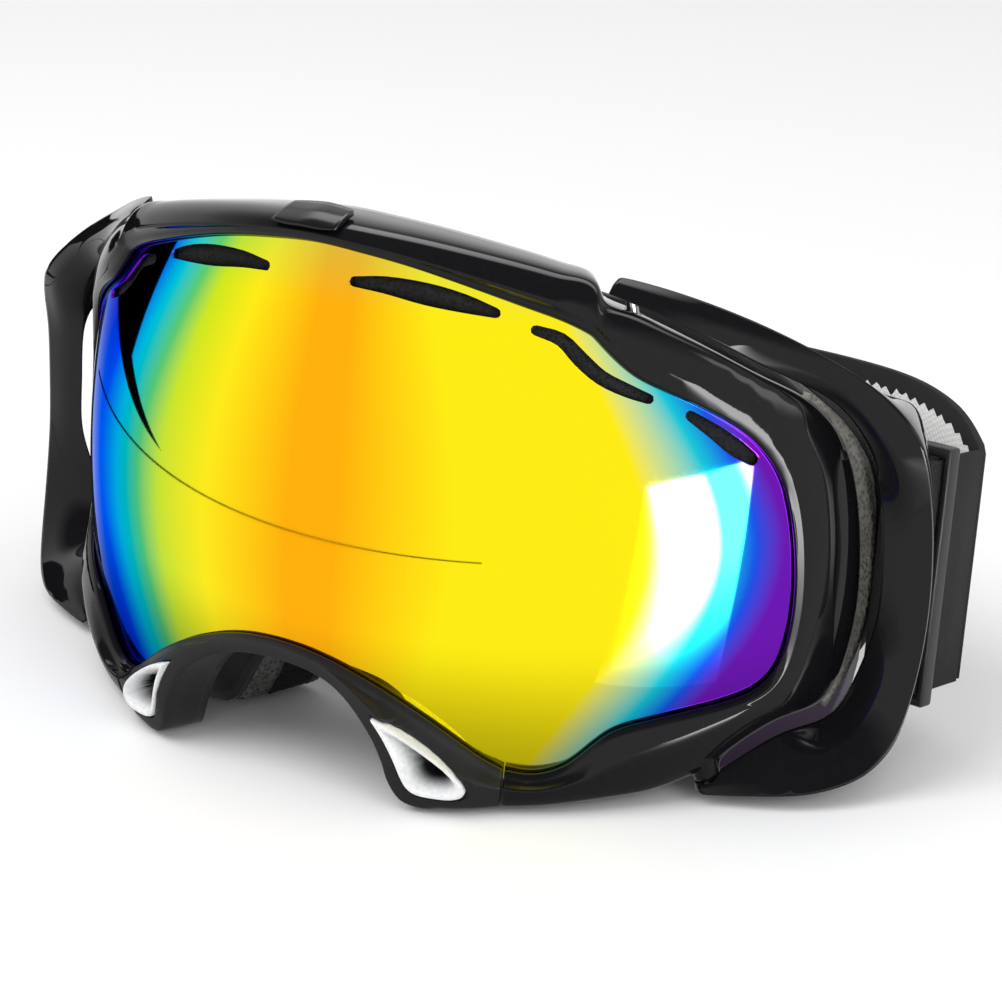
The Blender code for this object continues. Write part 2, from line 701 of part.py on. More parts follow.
def arm_rings():
    """Rings of the right outrigger."""
    flat = []
    for i, (_, _, outer, inner) in enumerate(ARM_SECTIONS):
        front = arm_front(i)
        flat.append((front.x, front.z, *front, *(front + Vector(outer)), *(front + Vector(inner))))
    return [arm_ring(r[2:5], r[5:8], r[8:11]) for r in smooth(flat, STEPS)]


def hinge_points(side):
    """Top and foot of an outrigger's hinge axis."""
    ends = [arm_front(0) + Vector(HINGE_TOP_FROM_ARM), arm_front(-1) + Vector(HINGE_FOOT_FROM_ARM)]
    return flip_x([ends])[0] if side == "left" else ends


def bar_at():
    """Plan of the strap bar on the right."""
    return arm_front(BAR_SECTION).xy + Vector(BAR_FROM_ARM)


def pin_ends(side, where):
    """Start and end of an upper or lower hinge pin, along the axis upward."""
    top, foot = hinge_points(side)
    up = (top - foot).normalized()
    base, span = (top, PIN_TOP_SPAN) if where == "upper" else (foot, PIN_FOOT_SPAN)
    return base + up * span[0], base + up * span[1]


def bore(obj, side, where, mat):
    """Cut a hinge pin's bore."""
    start, end = pin_ends(side, where)
    grow = (end - start).normalized() * FIT
    boolean(obj, cylinder("bore", start - grow, end + grow, PIN_RADIUS + PIN_FIT, mat), "DIFFERENCE")


def bar_ends(side):
    """Foot and top of the strap bar."""
    x, y = bar_at()
    ends = [Vector((x, y, z)) for z in BAR_SPAN]
    return flip_x([ends])[0] if side == "left" else ends


def on_axis(name, side, low, high, radius, mat):
    """Round solid on the hinge axis, between two heights above its foot."""
    top, foot = hinge_points(side)
    up = (top - foot).normalized()
    return cylinder(name, foot + up * low, foot + up * high, radius, mat)


def build_outrigger(side, mat):
    """Swinging arm that carries the strap: an eye under the frame's lug, bores for pins and bar."""
    arm = loft("outrigger_" + side, sided(arm_rings(), side), mat)
    boolean(arm, on_axis("eye", side, -EYE_HEIGHT, 0.0, LUG_RADIUS, mat), "UNION")
    boolean(arm, on_axis("lug_room", side, -EYE_TRIM, LUG_ROOM, LUG_RADIUS + FIT, mat), "DIFFERENCE")
    for where in ("upper", "lower"):
        bore(arm, side, where, mat)
    foot, top = bar_ends(side)
    grow = Vector((0, 0, FIT))
    boolean(arm, cylinder("bar_bore", foot - grow, top + grow, BAR_RADIUS + PIN_FIT, mat), "DIFFERENCE")
    return arm


def add_lug(frame, side, mat):
    """Lug that hangs from the frame's lower edge over the hook's eye."""
    boolean(frame, on_axis("lug", side, FIT, FIT + LUG_HEIGHT, LUG_RADIUS, mat), "UNION")


def ribbon(path, middles, width, thickness):
    """Rings of a strap that stands on edge along a plan path."""
    rings = []
    for i, (x, y) in enumerate(path):
        a, b = path[max(i - 1, 0)], path[min(i + 1, len(path) - 1)]
        length = hypot(b[0] - a[0], b[1] - a[1])
        nx, ny = (b[1] - a[1]) / length * thickness / 2, -(b[0] - a[0]) / length * thickness / 2
        lo, hi = middles[i] - width / 2, middles[i] + width / 2
        rings.append([Vector((x + nx, y + ny, lo)), Vector((x + nx, y + ny, hi)),
                      Vector((x - nx, y - ny, hi)), Vector((x - nx, y - ny, lo))])
    return rings


def end_path():
    """Plan of a strap end on the right: tail, loop round the bar, run to the fold."""
    r = BAR_RADIUS + FIT + STRAP_THICKNESS / 2
    run = Vector(FOLD_FROM_BAR)
    out = Vector((run.y, -run.x)).normalized() * r
    back = -run.normalized() * r
    bar = bar_at()
    loop = [bar - out * cos(a) + back * sin(a) for a in (radians(k * 18) for k in range(11))]
    tail, fold = bar - out + run * TAIL_SHARE, bar + out + run
    inner = [tail.lerp(loop[0], t) for t in (0, 0.3, 0.65)]
    outer = [loop[-1].lerp(fold, t) for t in (0.25, 0.5, 0.75, 1.0)]
    return [tuple(p) for p in inner + loop + outer]


def build_strap_end(side, mat):
    """Strap end looped round the outrigger's bar."""
    path = end_path()
    rings = ribbon(path, [STRAP_MIDDLE] * len(path), STRAP_WIDTH, STRAP_THICKNESS)
    return loft("strap_end_" + side, sided(rings, side), mat)


def build_strap_rear(mat):
    """Long rear run of the strap, from fold to fold behind the padding."""
    _, run = outer_run()
    fold = Vector((*end_path()[-1], 0))
    start = fold + run.normalized() * (FIT + STRAP_THICKNESS / 2)
    half = smooth([(start.x, start.y)] + [(fold.x * share, fold.y + depth) for share, depth in REAR_RUN], 3)
    path = half + [(-x, y) for x, y in half[-2::-1]]
    reach, drop = abs(path[0][0]), STRAP_MIDDLE - STRAP_REAR_MIDDLE
    middles = [STRAP_REAR_MIDDLE + drop * (abs(x) / reach) ** STRAP_SWEEP for x, _ in path]
    return loft("strap_rear", ribbon(path, middles, STRAP_WIDTH, STRAP_THICKNESS), mat)


def outer_run():
    """Start and direction of the strap end's outer run on the right."""
    path = end_path()
    start, stop = Vector((*path[-5], 0)), Vector((*path[-1], 0))
    return start, (stop - start)


def build_slider(side, mat):
    """Ring that slides on the doubled strap end."""
    start, run = outer_run()
    along = run.normalized()
    across = Vector((along.y, -along.x, 0))
    middle = start + run * SLIDER_AT
    tail = Vector((*end_path()[0], 0))
    inner = (tail - middle).dot(across) - STRAP_THICKNESS / 2 - FIT
    outer = STRAP_THICKNESS / 2 + FIT
    half = Vector((0, 0, STRAP_WIDTH / 2 + FIT))
    side_wall, end_wall = across * SLIDER_WALL, Vector((0, 0, SLIDER_RING))
    rings, wide = [], []
    for d in (-SLIDER_DEPTH / 2, SLIDER_DEPTH / 2):
        base = middle + along * d + Vector((0, 0, STRAP_MIDDLE))
        out, back = base + across * outer, base + across * inner
        rings.append([out - half, out + half, back + half, back - half])
        out, back, tall = out + side_wall, back - side_wall, half + end_wall
        wide.append([out - tall, out + tall, back + tall, back - tall])
    loops = [rings[0], wide[0], wide[1], rings[1]]
    return loft("slider_" + side, sided(loops, side), mat, closed=True)


def seat_on_floor(objects):
    """Parent everything to one empty that leans the goggle back and stands it on the floor."""
    root = bpy.data.objects.new("goggle_frame", None)
    bpy.context.scene.collection.objects.link(root)
    turn = Matrix.Rotation(-radians(LEAN_DEG), 4, "X")
    corners = [turn @ (obj.location + v.co) for obj in objects for v in obj.data.vertices]
    low = min(c.z for c in corners)
    ys = [c.y for c in corners]
    root.rotation_euler = (-radians(LEAN_DEG), 0, 0)
    root.location = (0, -(min(ys) + max(ys)) / 2, -low)
    for obj in objects:
        obj.parent = root
    return root


def set_origin(obj, point):
    """Move an object's origin to a joint axis without moving its shape."""
    shift = Vector(point) * MM
    obj.data.transform(Matrix.Translation(-shift))
    obj.location = shift


def main():
    clear_scene()
    gloss = material("gloss_black", (0.008, 0.008, 0.009), 0.08)
    satin = material("satin_black", (0.014, 0.014, 0.015), 0.42)
    white = material("vent_white", (0.86, 0.87, 0.88), 0.25)
    mirror = material("mirror_lens", (0.95, 0.62, 0.05), 0.05, 0.9)
    clear = material("inner_lens", (0.9, 0.9, 0.88), 0.05)
    sponge = material("slot_foam", (0.02, 0.02, 0.02), 0.95)
    grey = material("grey_foam", (0.16, 0.15, 0.14), 0.95)
    black = material("black_foam", (0.018, 0.018, 0.018), 0.95)
    fleece = material("fleece", (0.10, 0.075, 0.062), 1.0)
    rubber = material("chassis_rubber", (0.016, 0.016, 0.017), 0.5)
    steel = material("hinge_steel", (0.45, 0.45, 0.46), 0.3, 1.0)
    web = material("strap_web", (0.022, 0.021, 0.022), 0.95)
    buckle = material("slider_plastic", (0.03, 0.03, 0.032), 0.45)
    gasket = material("gasket_foam", (0.05, 0.05, 0.05), 0.9)
    plate = material("plate_gloss", (0.02, 0.02, 0.022), 0.12)

    frame = build_frame(gloss)
    parts = [frame, build_nose(satin), build_outer_lens(mirror), build_inner_lens(clear),
             build_gasket(gasket), build_chassis(rubber), build_brow_plate(plate)]
    depth = FIT
    for name, thick, mat, crown in (("face_foam_grey", GREY_FOAM, grey, 0.0),
                                    ("face_foam_black", BLACK_FOAM, black, 0.0),
                                    ("face_fleece", FLEECE, fleece, 0.8)):
        parts.append(build_pad(name, depth, thick, mat, crown))
        depth += thick + FIT
    parts.append(build_strap_rear(web))
    for side in ("left", "right"):
        parts.append(build_vent(side, white))
        parts.append(build_slot_foam(side, sponge))
        for name, rows, proud, mat in (("side_vent_foam_", SIDE_FOAM_ROWS, SIDE_FOAM_PROUD, grey),
                                       ("top_vent_foam_", TOP_FOAM_ROWS, 0.0, black)):
            parts.append(build_vent_strip(name + side, rows, proud, mat, side))
        add_lug(frame, side, gloss)
        for where in ("upper", "lower"):
            bore(frame, side, where, gloss)
            start, end = pin_ends(side, where)
            parts.append(cylinder("hinge_pin_%s_%s" % (where, side), start, end, PIN_RADIUS, steel))
        arm = build_outrigger(side, gloss)
        foot, top = bar_ends(side)
        bar = cylinder("strap_bar_" + side, foot, top, BAR_RADIUS, steel)
        end = build_strap_end(side, web)
        slider = build_slider(side, buckle)
        for moving in (arm, bar, end, slider):
            set_origin(moving, hinge_points(side)[0])
        parts += [arm, bar, end, slider]
    seat_on_floor(parts)


main()
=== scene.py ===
"""Dresses the motorcycle goggles: finishes, smooth shells, padding, strap and a plain studio.

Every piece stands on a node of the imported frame, in metres, +Z up, lens towards -Y.
"""
import json
from math import atan2, cos, pi, radians, sin, sqrt

import bmesh
import bpy
from bpy.props import FloatProperty, FloatVectorProperty, IntProperty, PointerProperty
from mathutils import Matrix, Vector, noise

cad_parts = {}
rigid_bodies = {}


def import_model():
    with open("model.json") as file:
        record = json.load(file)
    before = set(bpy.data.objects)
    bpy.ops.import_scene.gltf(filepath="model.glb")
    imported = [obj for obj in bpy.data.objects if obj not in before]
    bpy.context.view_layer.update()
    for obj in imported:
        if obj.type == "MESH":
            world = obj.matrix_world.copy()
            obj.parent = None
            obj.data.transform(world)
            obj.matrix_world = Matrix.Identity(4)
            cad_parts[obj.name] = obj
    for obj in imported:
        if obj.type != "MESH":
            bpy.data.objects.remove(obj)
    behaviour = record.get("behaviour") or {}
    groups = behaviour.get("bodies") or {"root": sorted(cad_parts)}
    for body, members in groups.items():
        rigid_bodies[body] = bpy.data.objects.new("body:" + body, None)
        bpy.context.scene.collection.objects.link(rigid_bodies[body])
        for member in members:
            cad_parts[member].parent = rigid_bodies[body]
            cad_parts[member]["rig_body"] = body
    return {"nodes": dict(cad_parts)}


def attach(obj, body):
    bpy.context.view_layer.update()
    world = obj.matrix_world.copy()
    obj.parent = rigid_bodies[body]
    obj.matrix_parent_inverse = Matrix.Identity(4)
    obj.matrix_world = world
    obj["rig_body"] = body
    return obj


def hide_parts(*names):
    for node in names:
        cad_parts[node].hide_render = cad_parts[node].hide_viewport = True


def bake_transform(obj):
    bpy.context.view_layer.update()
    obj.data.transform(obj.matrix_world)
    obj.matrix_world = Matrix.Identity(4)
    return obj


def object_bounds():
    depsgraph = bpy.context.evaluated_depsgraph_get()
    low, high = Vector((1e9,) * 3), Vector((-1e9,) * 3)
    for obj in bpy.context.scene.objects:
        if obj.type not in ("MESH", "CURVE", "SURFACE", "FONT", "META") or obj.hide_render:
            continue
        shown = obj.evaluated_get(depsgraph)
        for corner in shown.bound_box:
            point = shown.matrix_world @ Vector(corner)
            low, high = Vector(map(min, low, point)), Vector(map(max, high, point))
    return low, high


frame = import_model()
CAD_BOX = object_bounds()

bl_info = {
    "name": "Goggle looks",
    "version": (1, 0, 0),
    "blender": (4, 5, 0),
    "location": "3D View > Sidebar > Goggles",
    "description": "Finishes, padding, strap and studio for a pair of motorcycle goggles",
    "category": "Object",
}

# The goggle's own frame in the row: lens apex and backward lean
APEX = Vector((0.0, -0.04888, 0.0494))
LEAN = radians(8.0)
SIDES = ("left", "right")
WELD = 0.00001
SHARP = radians(80)
# Middle of the strap's bar and of the doubled run behind it, in the goggle's own plan
BAR = Vector((0.0892, 0.0624))
RUN_END = Vector((0.0930, 0.0815))
STRAP_MIDDLE = -0.0025
STRAP_WIDTH = 0.0434
# Middle of the mirror colours round the face, and the height over which they draw in
BAND_MIDDLE = 0.09
BAND_HEIGHT = 0.06
# Span of the dark arc of painted shade on the floor, in degrees round the goggle
ARC_SPAN = (-120, 25)

# Frame's outer edge on one side in millimetres, from under the lens corner to the brow:
# arc length, height and stand-off
FRAME_EDGE = [(71.6, -43.0, 2.3), (79.6, -39.8, 2.2), (87.4, -34.6, 1.6), (96.0, -30.2, 1.0),
              (106.4, -28.6, 0.2), (110.4, -20.8, -0.6), (111.0, -9.8, -0.7), (109.8, 1.0, -0.7),
              (107.6, 11.6, -0.8), (103.4, 20.4, -0.4), (96.4, 27.0, 0.0), (86.0, 31.4, 0.4)]
# Strips along that edge: first row, then near and far reach, front and back depth in millimetres
VENT_BAND = (4, [(-1.0, 2.2, -0.8, -4.0), (-1.2, 4.0, -0.6, -4.6), (-1.2, 4.6, -0.6, -5.0),
                 (-1.2, 4.6, -0.6, -5.0), (-1.2, 4.2, -0.6, -5.0), (-1.2, 3.0, -0.6, -5.0),
                 (-1.0, 1.0, -0.8, -4.0)])
POCKET_BAND = (1, [(-1.0, 1.6, -2.0, -3.2), (-1.0, 6.4, -2.6, -3.8), (-1.0, 10.0, -3.0, -4.2),
                   (-1.0, 13.5, -3.4, -4.6), (-1.0, 12.5, -4.2, -5.4), (-1.0, 5.5, -5.2, -6.4)])


def colour_property(name, text, value):
    """A colour that a user may change."""
    return FloatVectorProperty(name=name, description=text, subtype="COLOR", size=3, default=value,
                               min=0.0, max=1.0)


class LensLook(bpy.types.PropertyGroup):
    """Shape and mirror colours of the lens."""
    radius: FloatProperty(name="Bend", description="Radius of the lens round the face", default=0.09,
                          unit="LENGTH")
    tall_radius: FloatProperty(name="Tall bend", description="Radius of the lens from brow to nose",
                               default=0.19, unit="LENGTH")
    roughness: FloatProperty(name="Roughness", description="Roughness of the mirror", default=0.035,
                             subtype="FACTOR")
    violet: colour_property("Violet", "Mirror colour at both ends", (0.15, 0.01, 0.44))
    blue: colour_property("Blue", "Mirror colour next to the ends", (0.01, 0.08, 0.80))
    teal: colour_property("Teal", "Mirror colour past the blue", (0.01, 0.58, 0.68))
    green: colour_property("Green", "Mirror colour past the teal", (0.12, 0.62, 0.14))
    lime: colour_property("Lime", "Mirror colour before the yellow", (0.62, 0.82, 0.01))
    yellow: colour_property("Yellow", "Mirror colour beside the middle", (1.0, 0.84, 0.008))
    orange: colour_property("Orange", "Mirror colour in the middle", (1.0, 0.44, 0.004))
    smoke: colour_property("Smoke", "Tint of the lens's inner face", (0.05, 0.035, 0.025))


class ShellLook(bpy.types.PropertyGroup):
    """Frame, outriggers, nose piece and vents."""
    gloss: colour_property("Gloss", "Polished frame and outriggers", (0.006, 0.006, 0.007))
    rubber: colour_property("Rubber", "Soft nose piece", (0.013, 0.013, 0.014))
    chassis: colour_property("Chassis", "Flexible inner frame", (0.017, 0.017, 0.018))
    vent: colour_property("Vent", "Funnels of the nose vents", (0.80, 0.81, 0.82))
    # Painted shade: dark colour painted deep inside the nose vents' funnels
    painted_throat_shade: colour_property("Throat", "Depth of the nose vents", (0.015, 0.015, 0.017))
    # Pocket colour: partly the coat's tint, partly painted shade and coloured reflection in the recess
    pocket_shade_and_sheen: colour_property("Pocket", "Coated pocket beside the hook", (0.035, 0.012, 0.05))
    steel: colour_property("Steel", "Pins and bars", (0.5, 0.5, 0.51))
    smoothing: IntProperty(name="Smoothing", description="Subdivision of the shells", default=2,
                           min=1, max=3)


class SoftLook(bpy.types.PropertyGroup):
    """Padding and strap."""
    grey: colour_property("Grey foam", "First padding layer", (0.15, 0.145, 0.14))
    vent: colour_property("Vent foam", "Foam between frame and outriggers", (0.52, 0.50, 0.45))
    black: colour_property("Black foam", "Second padding layer", (0.018, 0.018, 0.019))
    fleece: colour_property("Fleece", "Layer against the face", (0.105, 0.078, 0.064))
    web: colour_property("Strap", "Outside of the strap", (0.020, 0.019, 0.020))
    lining: colour_property("Lining", "Inside of the strap", (0.74, 0.74, 0.73))
    buckle: colour_property("Slider", "Moulded slider", (0.022, 0.022, 0.024))
    pitch: FloatProperty(name="Rib pitch", description="Distance between the strap's ribs", default=0.0011,
                         unit="LENGTH")


class StageLook(bpy.types.PropertyGroup):
    """Floor, light and camera."""
    floor: colour_property("Floor", "Pale floor", (0.93, 0.93, 0.93))
    key: FloatProperty(name="Key", description="Power of the large lamp above", default=6.0, unit="POWER")
    fill: FloatProperty(name="Fill", description="Power of the lamp on the right", default=2.6, unit="POWER")
    ambient: FloatProperty(name="Ambient", description="Strength of the world's light", default=0.78)
    lens: FloatProperty(name="Lens", description="Focal length of the camera in millimetres", default=96.9)
    azimuth: FloatProperty(name="Azimuth", description="Camera's angle round the goggle",
                           default=radians(31.85), subtype="ANGLE")
    elevation: FloatProperty(name="Elevation", description="Camera's angle above the floor",
                             default=radians(21.29), subtype="ANGLE")
    from_apex: FloatVectorProperty(name="Camera", description="Camera's place from the lens apex",
                                   default=(0.2625, -0.3493, 0.1723), unit="LENGTH")


def to_goggle(point):
    """Row point in the goggle's own frame, lens apex at the origin."""
    p = Vector(point) - APEX
    return Vector((p.x, p.y * cos(LEAN) - p.z * sin(LEAN), p.y * sin(LEAN) + p.z * cos(LEAN)))


def to_row(point):
    """Point of the goggle's own frame in the row."""
    x, y, z = point
    return APEX + Vector((x, y * cos(LEAN) + z * sin(LEAN), -y * sin(LEAN) + z * cos(LEAN)))


def node_tree(name):
    """New material with its tree and its shader."""
    mat = bpy.data.materials.new(name)
    mat.use_nodes = True
    tree = mat.node_tree
    return mat, tree, tree.nodes["Principled BSDF"]


def put(tree, kind, links=(), **settings):
    """Add a node, set its values and link its inputs."""
    node = tree.nodes.new(kind)
    for key, value in settings.items():
        setattr(node, key, value)
    for socket, source in links:
        if isinstance(source, bpy.types.NodeSocket):
            tree.links.new(source, node.inputs[socket])
        else:
            node.inputs[socket].default_value = source
    return node


def new_group(name, inputs, outputs):
    """Shader group with named sockets; returns tree, input node and output node."""
    tree = bpy.data.node_groups.new(name, "ShaderNodeTree")
    for label, kind, value in inputs:
        tree.interface.new_socket(label, in_out="INPUT", socket_type=kind).default_value = value
    for label, kind in outputs:
        tree.interface.new_socket(label, in_out="OUTPUT", socket_type=kind)
    return tree, tree.nodes.new("NodeGroupInput"), tree.nodes.new("NodeGroupOutput")


def grain_group():
    """Moulded surface: roughness that drifts in patches, with a fine height."""
    tree, into, out = new_group(
        "moulded_grain",
        [("Patch", "NodeSocketFloat", 60.0), ("Grain", "NodeSocketFloat", 900.0),
         ("Low", "NodeSocketFloat", 0.1), ("High", "NodeSocketFloat", 0.2)],
        [("Roughness", "NodeSocketFloat"), ("Height", "NodeSocketFloat")])
    where = put(tree, "ShaderNodeTexCoord")
    patch = put(tree, "ShaderNodeTexNoise", [("Vector", where.outputs["Object"]),
                                             ("Scale", into.outputs["Patch"]), ("Detail", 6.0)])
    level = put(tree, "ShaderNodeMapRange",
                [("Value", patch.outputs["Fac"]), ("From Min", 0.3), ("From Max", 0.7),
                 ("To Min", into.outputs["Low"]), ("To Max", into.outputs["High"])])
    grain = put(tree, "ShaderNodeTexNoise", [("Vector", where.outputs["Object"]),
                                             ("Scale", into.outputs["Grain"]), ("Detail", 3.0)])
    tree.links.new(level.outputs["Result"], out.inputs["Roughness"])
    tree.links.new(grain.outputs["Fac"], out.inputs["Height"])
    return tree


def foam_group():
    """Open-cell foam or pile: pits darkened by painted shade between lighter walls."""
    tree, into, out = new_group(
        "foam_cells",
        [("Scale", "NodeSocketFloat", 900.0), ("Wall", "NodeSocketColor", (0.2, 0.2, 0.2, 1)),
         ("Pit_shade", "NodeSocketColor", (0.02, 0.02, 0.02, 1))],
        [("Color", "NodeSocketColor"), ("Height", "NodeSocketFloat")])
    where = put(tree, "ShaderNodeTexCoord")
    warp = put(tree, "ShaderNodeTexNoise",
               [("Vector", where.outputs["Object"]), ("Scale", 220.0), ("Detail", 4.0)])
    cells = put(tree, "ShaderNodeTexVoronoi", [("Vector", where.outputs["Object"]),
                                               ("Scale", into.outputs["Scale"])])
    wall = put(tree, "ShaderNodeMapRange", [("Value", cells.outputs["Distance"]), ("From Min", 0.08),
                                            ("From Max", 0.62)])
    both = put(tree, "ShaderNodeMath", [(0, wall.outputs["Result"]), (1, warp.outputs["Fac"])],
               operation="MULTIPLY_ADD")
    both.inputs[2].default_value = 0.12
    # Painted shade: the cells' pits take a darker copy of the colour, the walls a lighter one
    mix = put(tree, "ShaderNodeMix", [(0, both.outputs["Value"]), (6, into.outputs["Pit_shade"]),
                                      (7, into.outputs["Wall"])], data_type="RGBA")
    tree.links.new(mix.outputs[2], out.inputs["Color"])
    tree.links.new(both.outputs["Value"], out.inputs["Height"])
    return tree


def web_group():
    """Ribbed elastic: ribs across the width and stitches along the run."""
    tree, into, out = new_group(
        "ribbed_elastic",
        [("Across", "NodeSocketFloat", 0.0), ("Along", "NodeSocketFloat", 0.0),
         ("Fuzz", "NodeSocketFloat", 0.3)],
        [("Shade", "NodeSocketFloat"), ("Height", "NodeSocketFloat")])
    where = put(tree, "ShaderNodeTexCoord")
    rib = put(tree, "ShaderNodeMath", [(0, into.outputs["Across"])], operation="SINE")
    stitch = put(tree, "ShaderNodeMath", [(0, into.outputs["Along"])], operation="SINE")
    cross = put(tree, "ShaderNodeMath", [(0, rib.outputs["Value"]), (1, stitch.outputs["Value"])],
                operation="MULTIPLY")
    half = put(tree, "ShaderNodeMath", [(0, cross.outputs["Value"]), (1, 0.35), (2, 0.5)],
               operation="MULTIPLY_ADD")
    fuzz = put(tree, "ShaderNodeTexNoise",
               [("Vector", where.outputs["Object"]), ("Scale", 2600.0), ("Detail", 5.0)])
    mix = put(tree, "ShaderNodeMix", [("Factor", into.outputs["Fuzz"]), (2, half.outputs["Value"]),
                                      (3, fuzz.outputs["Fac"])])
    tree.links.new(mix.outputs[0], out.inputs["Shade"])
    tree.links.new(mix.outputs[0], out.inputs["Height"])
    return tree


def bump(tree, shader, height, strength, distance):
    """Feed a height to the shader's normal."""
    node = put(tree, "ShaderNodeBump", [("Height", height), ("Strength", strength), ("Distance", distance)])
    tree.links.new(node.outputs["Normal"], shader.inputs["Normal"])


def moulded(name, colour, low, high, patch, grain, depth, shine=0.3):
    """Moulded plastic or rubber."""
    mat, tree, shader = node_tree(name)
    shader.inputs["Specular IOR Level"].default_value = shine
    group = put(tree, "ShaderNodeGroup", node_tree=bpy.data.node_groups["moulded_grain"])
    for key, value in (("Patch", patch), ("Grain", grain), ("Low", low), ("High", high)):
        group.inputs[key].default_value = value
    tint = put(tree, "ShaderNodeMix", [(0, group.outputs["Height"])], data_type="RGBA")
    tint.inputs[6].default_value = (*(c * 0.8 for c in colour), 1)
    tint.inputs[7].default_value = (*(min(c * 1.2, 1) for c in colour), 1)
    tree.links.new(tint.outputs[2], shader.inputs["Base Color"])
    tree.links.new(group.outputs["Roughness"], shader.inputs["Roughness"])
    bump(tree, shader, group.outputs["Height"], 0.35, depth)
    return mat


def foam(name, colour, scale, depth, pit_shade=0.25):
    """Foam or fleece of one colour, with painted shade darkening the pits of its cells."""
    mat, tree, shader = node_tree(name)
    shader.inputs["Roughness"].default_value = 0.95
    shader.inputs["Specular IOR Level"].default_value = 0.2
    group = put(tree, "ShaderNodeGroup", node_tree=bpy.data.node_groups["foam_cells"])
    group.inputs["Scale"].default_value = scale
    # Lighter walls and darker pits: painted shade within the cells
    group.inputs["Wall"].default_value = (*(min(c * 1.25, 1) for c in colour), 1)
    group.inputs["Pit_shade"].default_value = (*(c * pit_shade for c in colour), 1)
    tree.links.new(group.outputs["Color"], shader.inputs["Base Color"])
    bump(tree, shader, group.outputs["Height"], 0.8, depth)
    return mat


def web(name, colour, dark, look, border):
    """Strap cloth; border is the share of the half width that its bound edge takes, in teeth."""
    mat, tree, shader = node_tree(name)
    shader.inputs["Roughness"].default_value = 0.9
    shader.inputs["Specular IOR Level"].default_value = 0.25
    across = put(tree, "ShaderNodeAttribute", attribute_name="across")
    along = put(tree, "ShaderNodeAttribute", attribute_name="along")
    turn = 2 * pi / look.pitch
    width = put(tree, "ShaderNodeMath",
                [(0, across.outputs["Fac"]), (1, STRAP_WIDTH * turn)], operation="MULTIPLY")
    length = put(tree, "ShaderNodeMath", [(0, along.outputs["Fac"]), (1, turn)], operation="MULTIPLY")
    group = put(tree, "ShaderNodeGroup",
                [("Across", width.outputs["Value"]), ("Along", length.outputs["Value"])],
                node_tree=bpy.data.node_groups["ribbed_elastic"])
    group.inputs["Fuzz"].default_value = 0.55
    shade = put(tree, "ShaderNodeMix", [(0, group.outputs["Shade"])], data_type="RGBA")
    shade.inputs[6].default_value = (*(c * 0.55 for c in colour), 1)
    shade.inputs[7].default_value = (*(min(c * 1.3, 1) for c in colour), 1)
    off = put(tree, "ShaderNodeMath", [(0, across.outputs["Fac"]), (1, 0.5)], operation="SUBTRACT")
    off = put(tree, "ShaderNodeMath", [(0, off.outputs["Value"])], operation="ABSOLUTE")
    teeth = put(tree, "ShaderNodeMath", [(0, along.outputs["Fac"]), (1, 0.0011)], operation="PINGPONG")
    edge = put(tree, "ShaderNodeMath", [(0, teeth.outputs["Value"]), (1, 22.0), (2, off.outputs["Value"])],
               operation="MULTIPLY_ADD")
    mask = put(tree, "ShaderNodeMath",
               [(0, edge.outputs["Value"]), (1, 0.5 - border / 2)], operation="GREATER_THAN")
    both = put(tree, "ShaderNodeMix", [(0, mask.outputs["Value"]), (6, shade.outputs[2])], data_type="RGBA")
    both.inputs[7].default_value = (*dark, 1)
    tree.links.new(both.outputs[2], shader.inputs["Base Color"])
    bump(tree, shader, group.outputs["Height"], 0.7, 0.0003)
    return mat


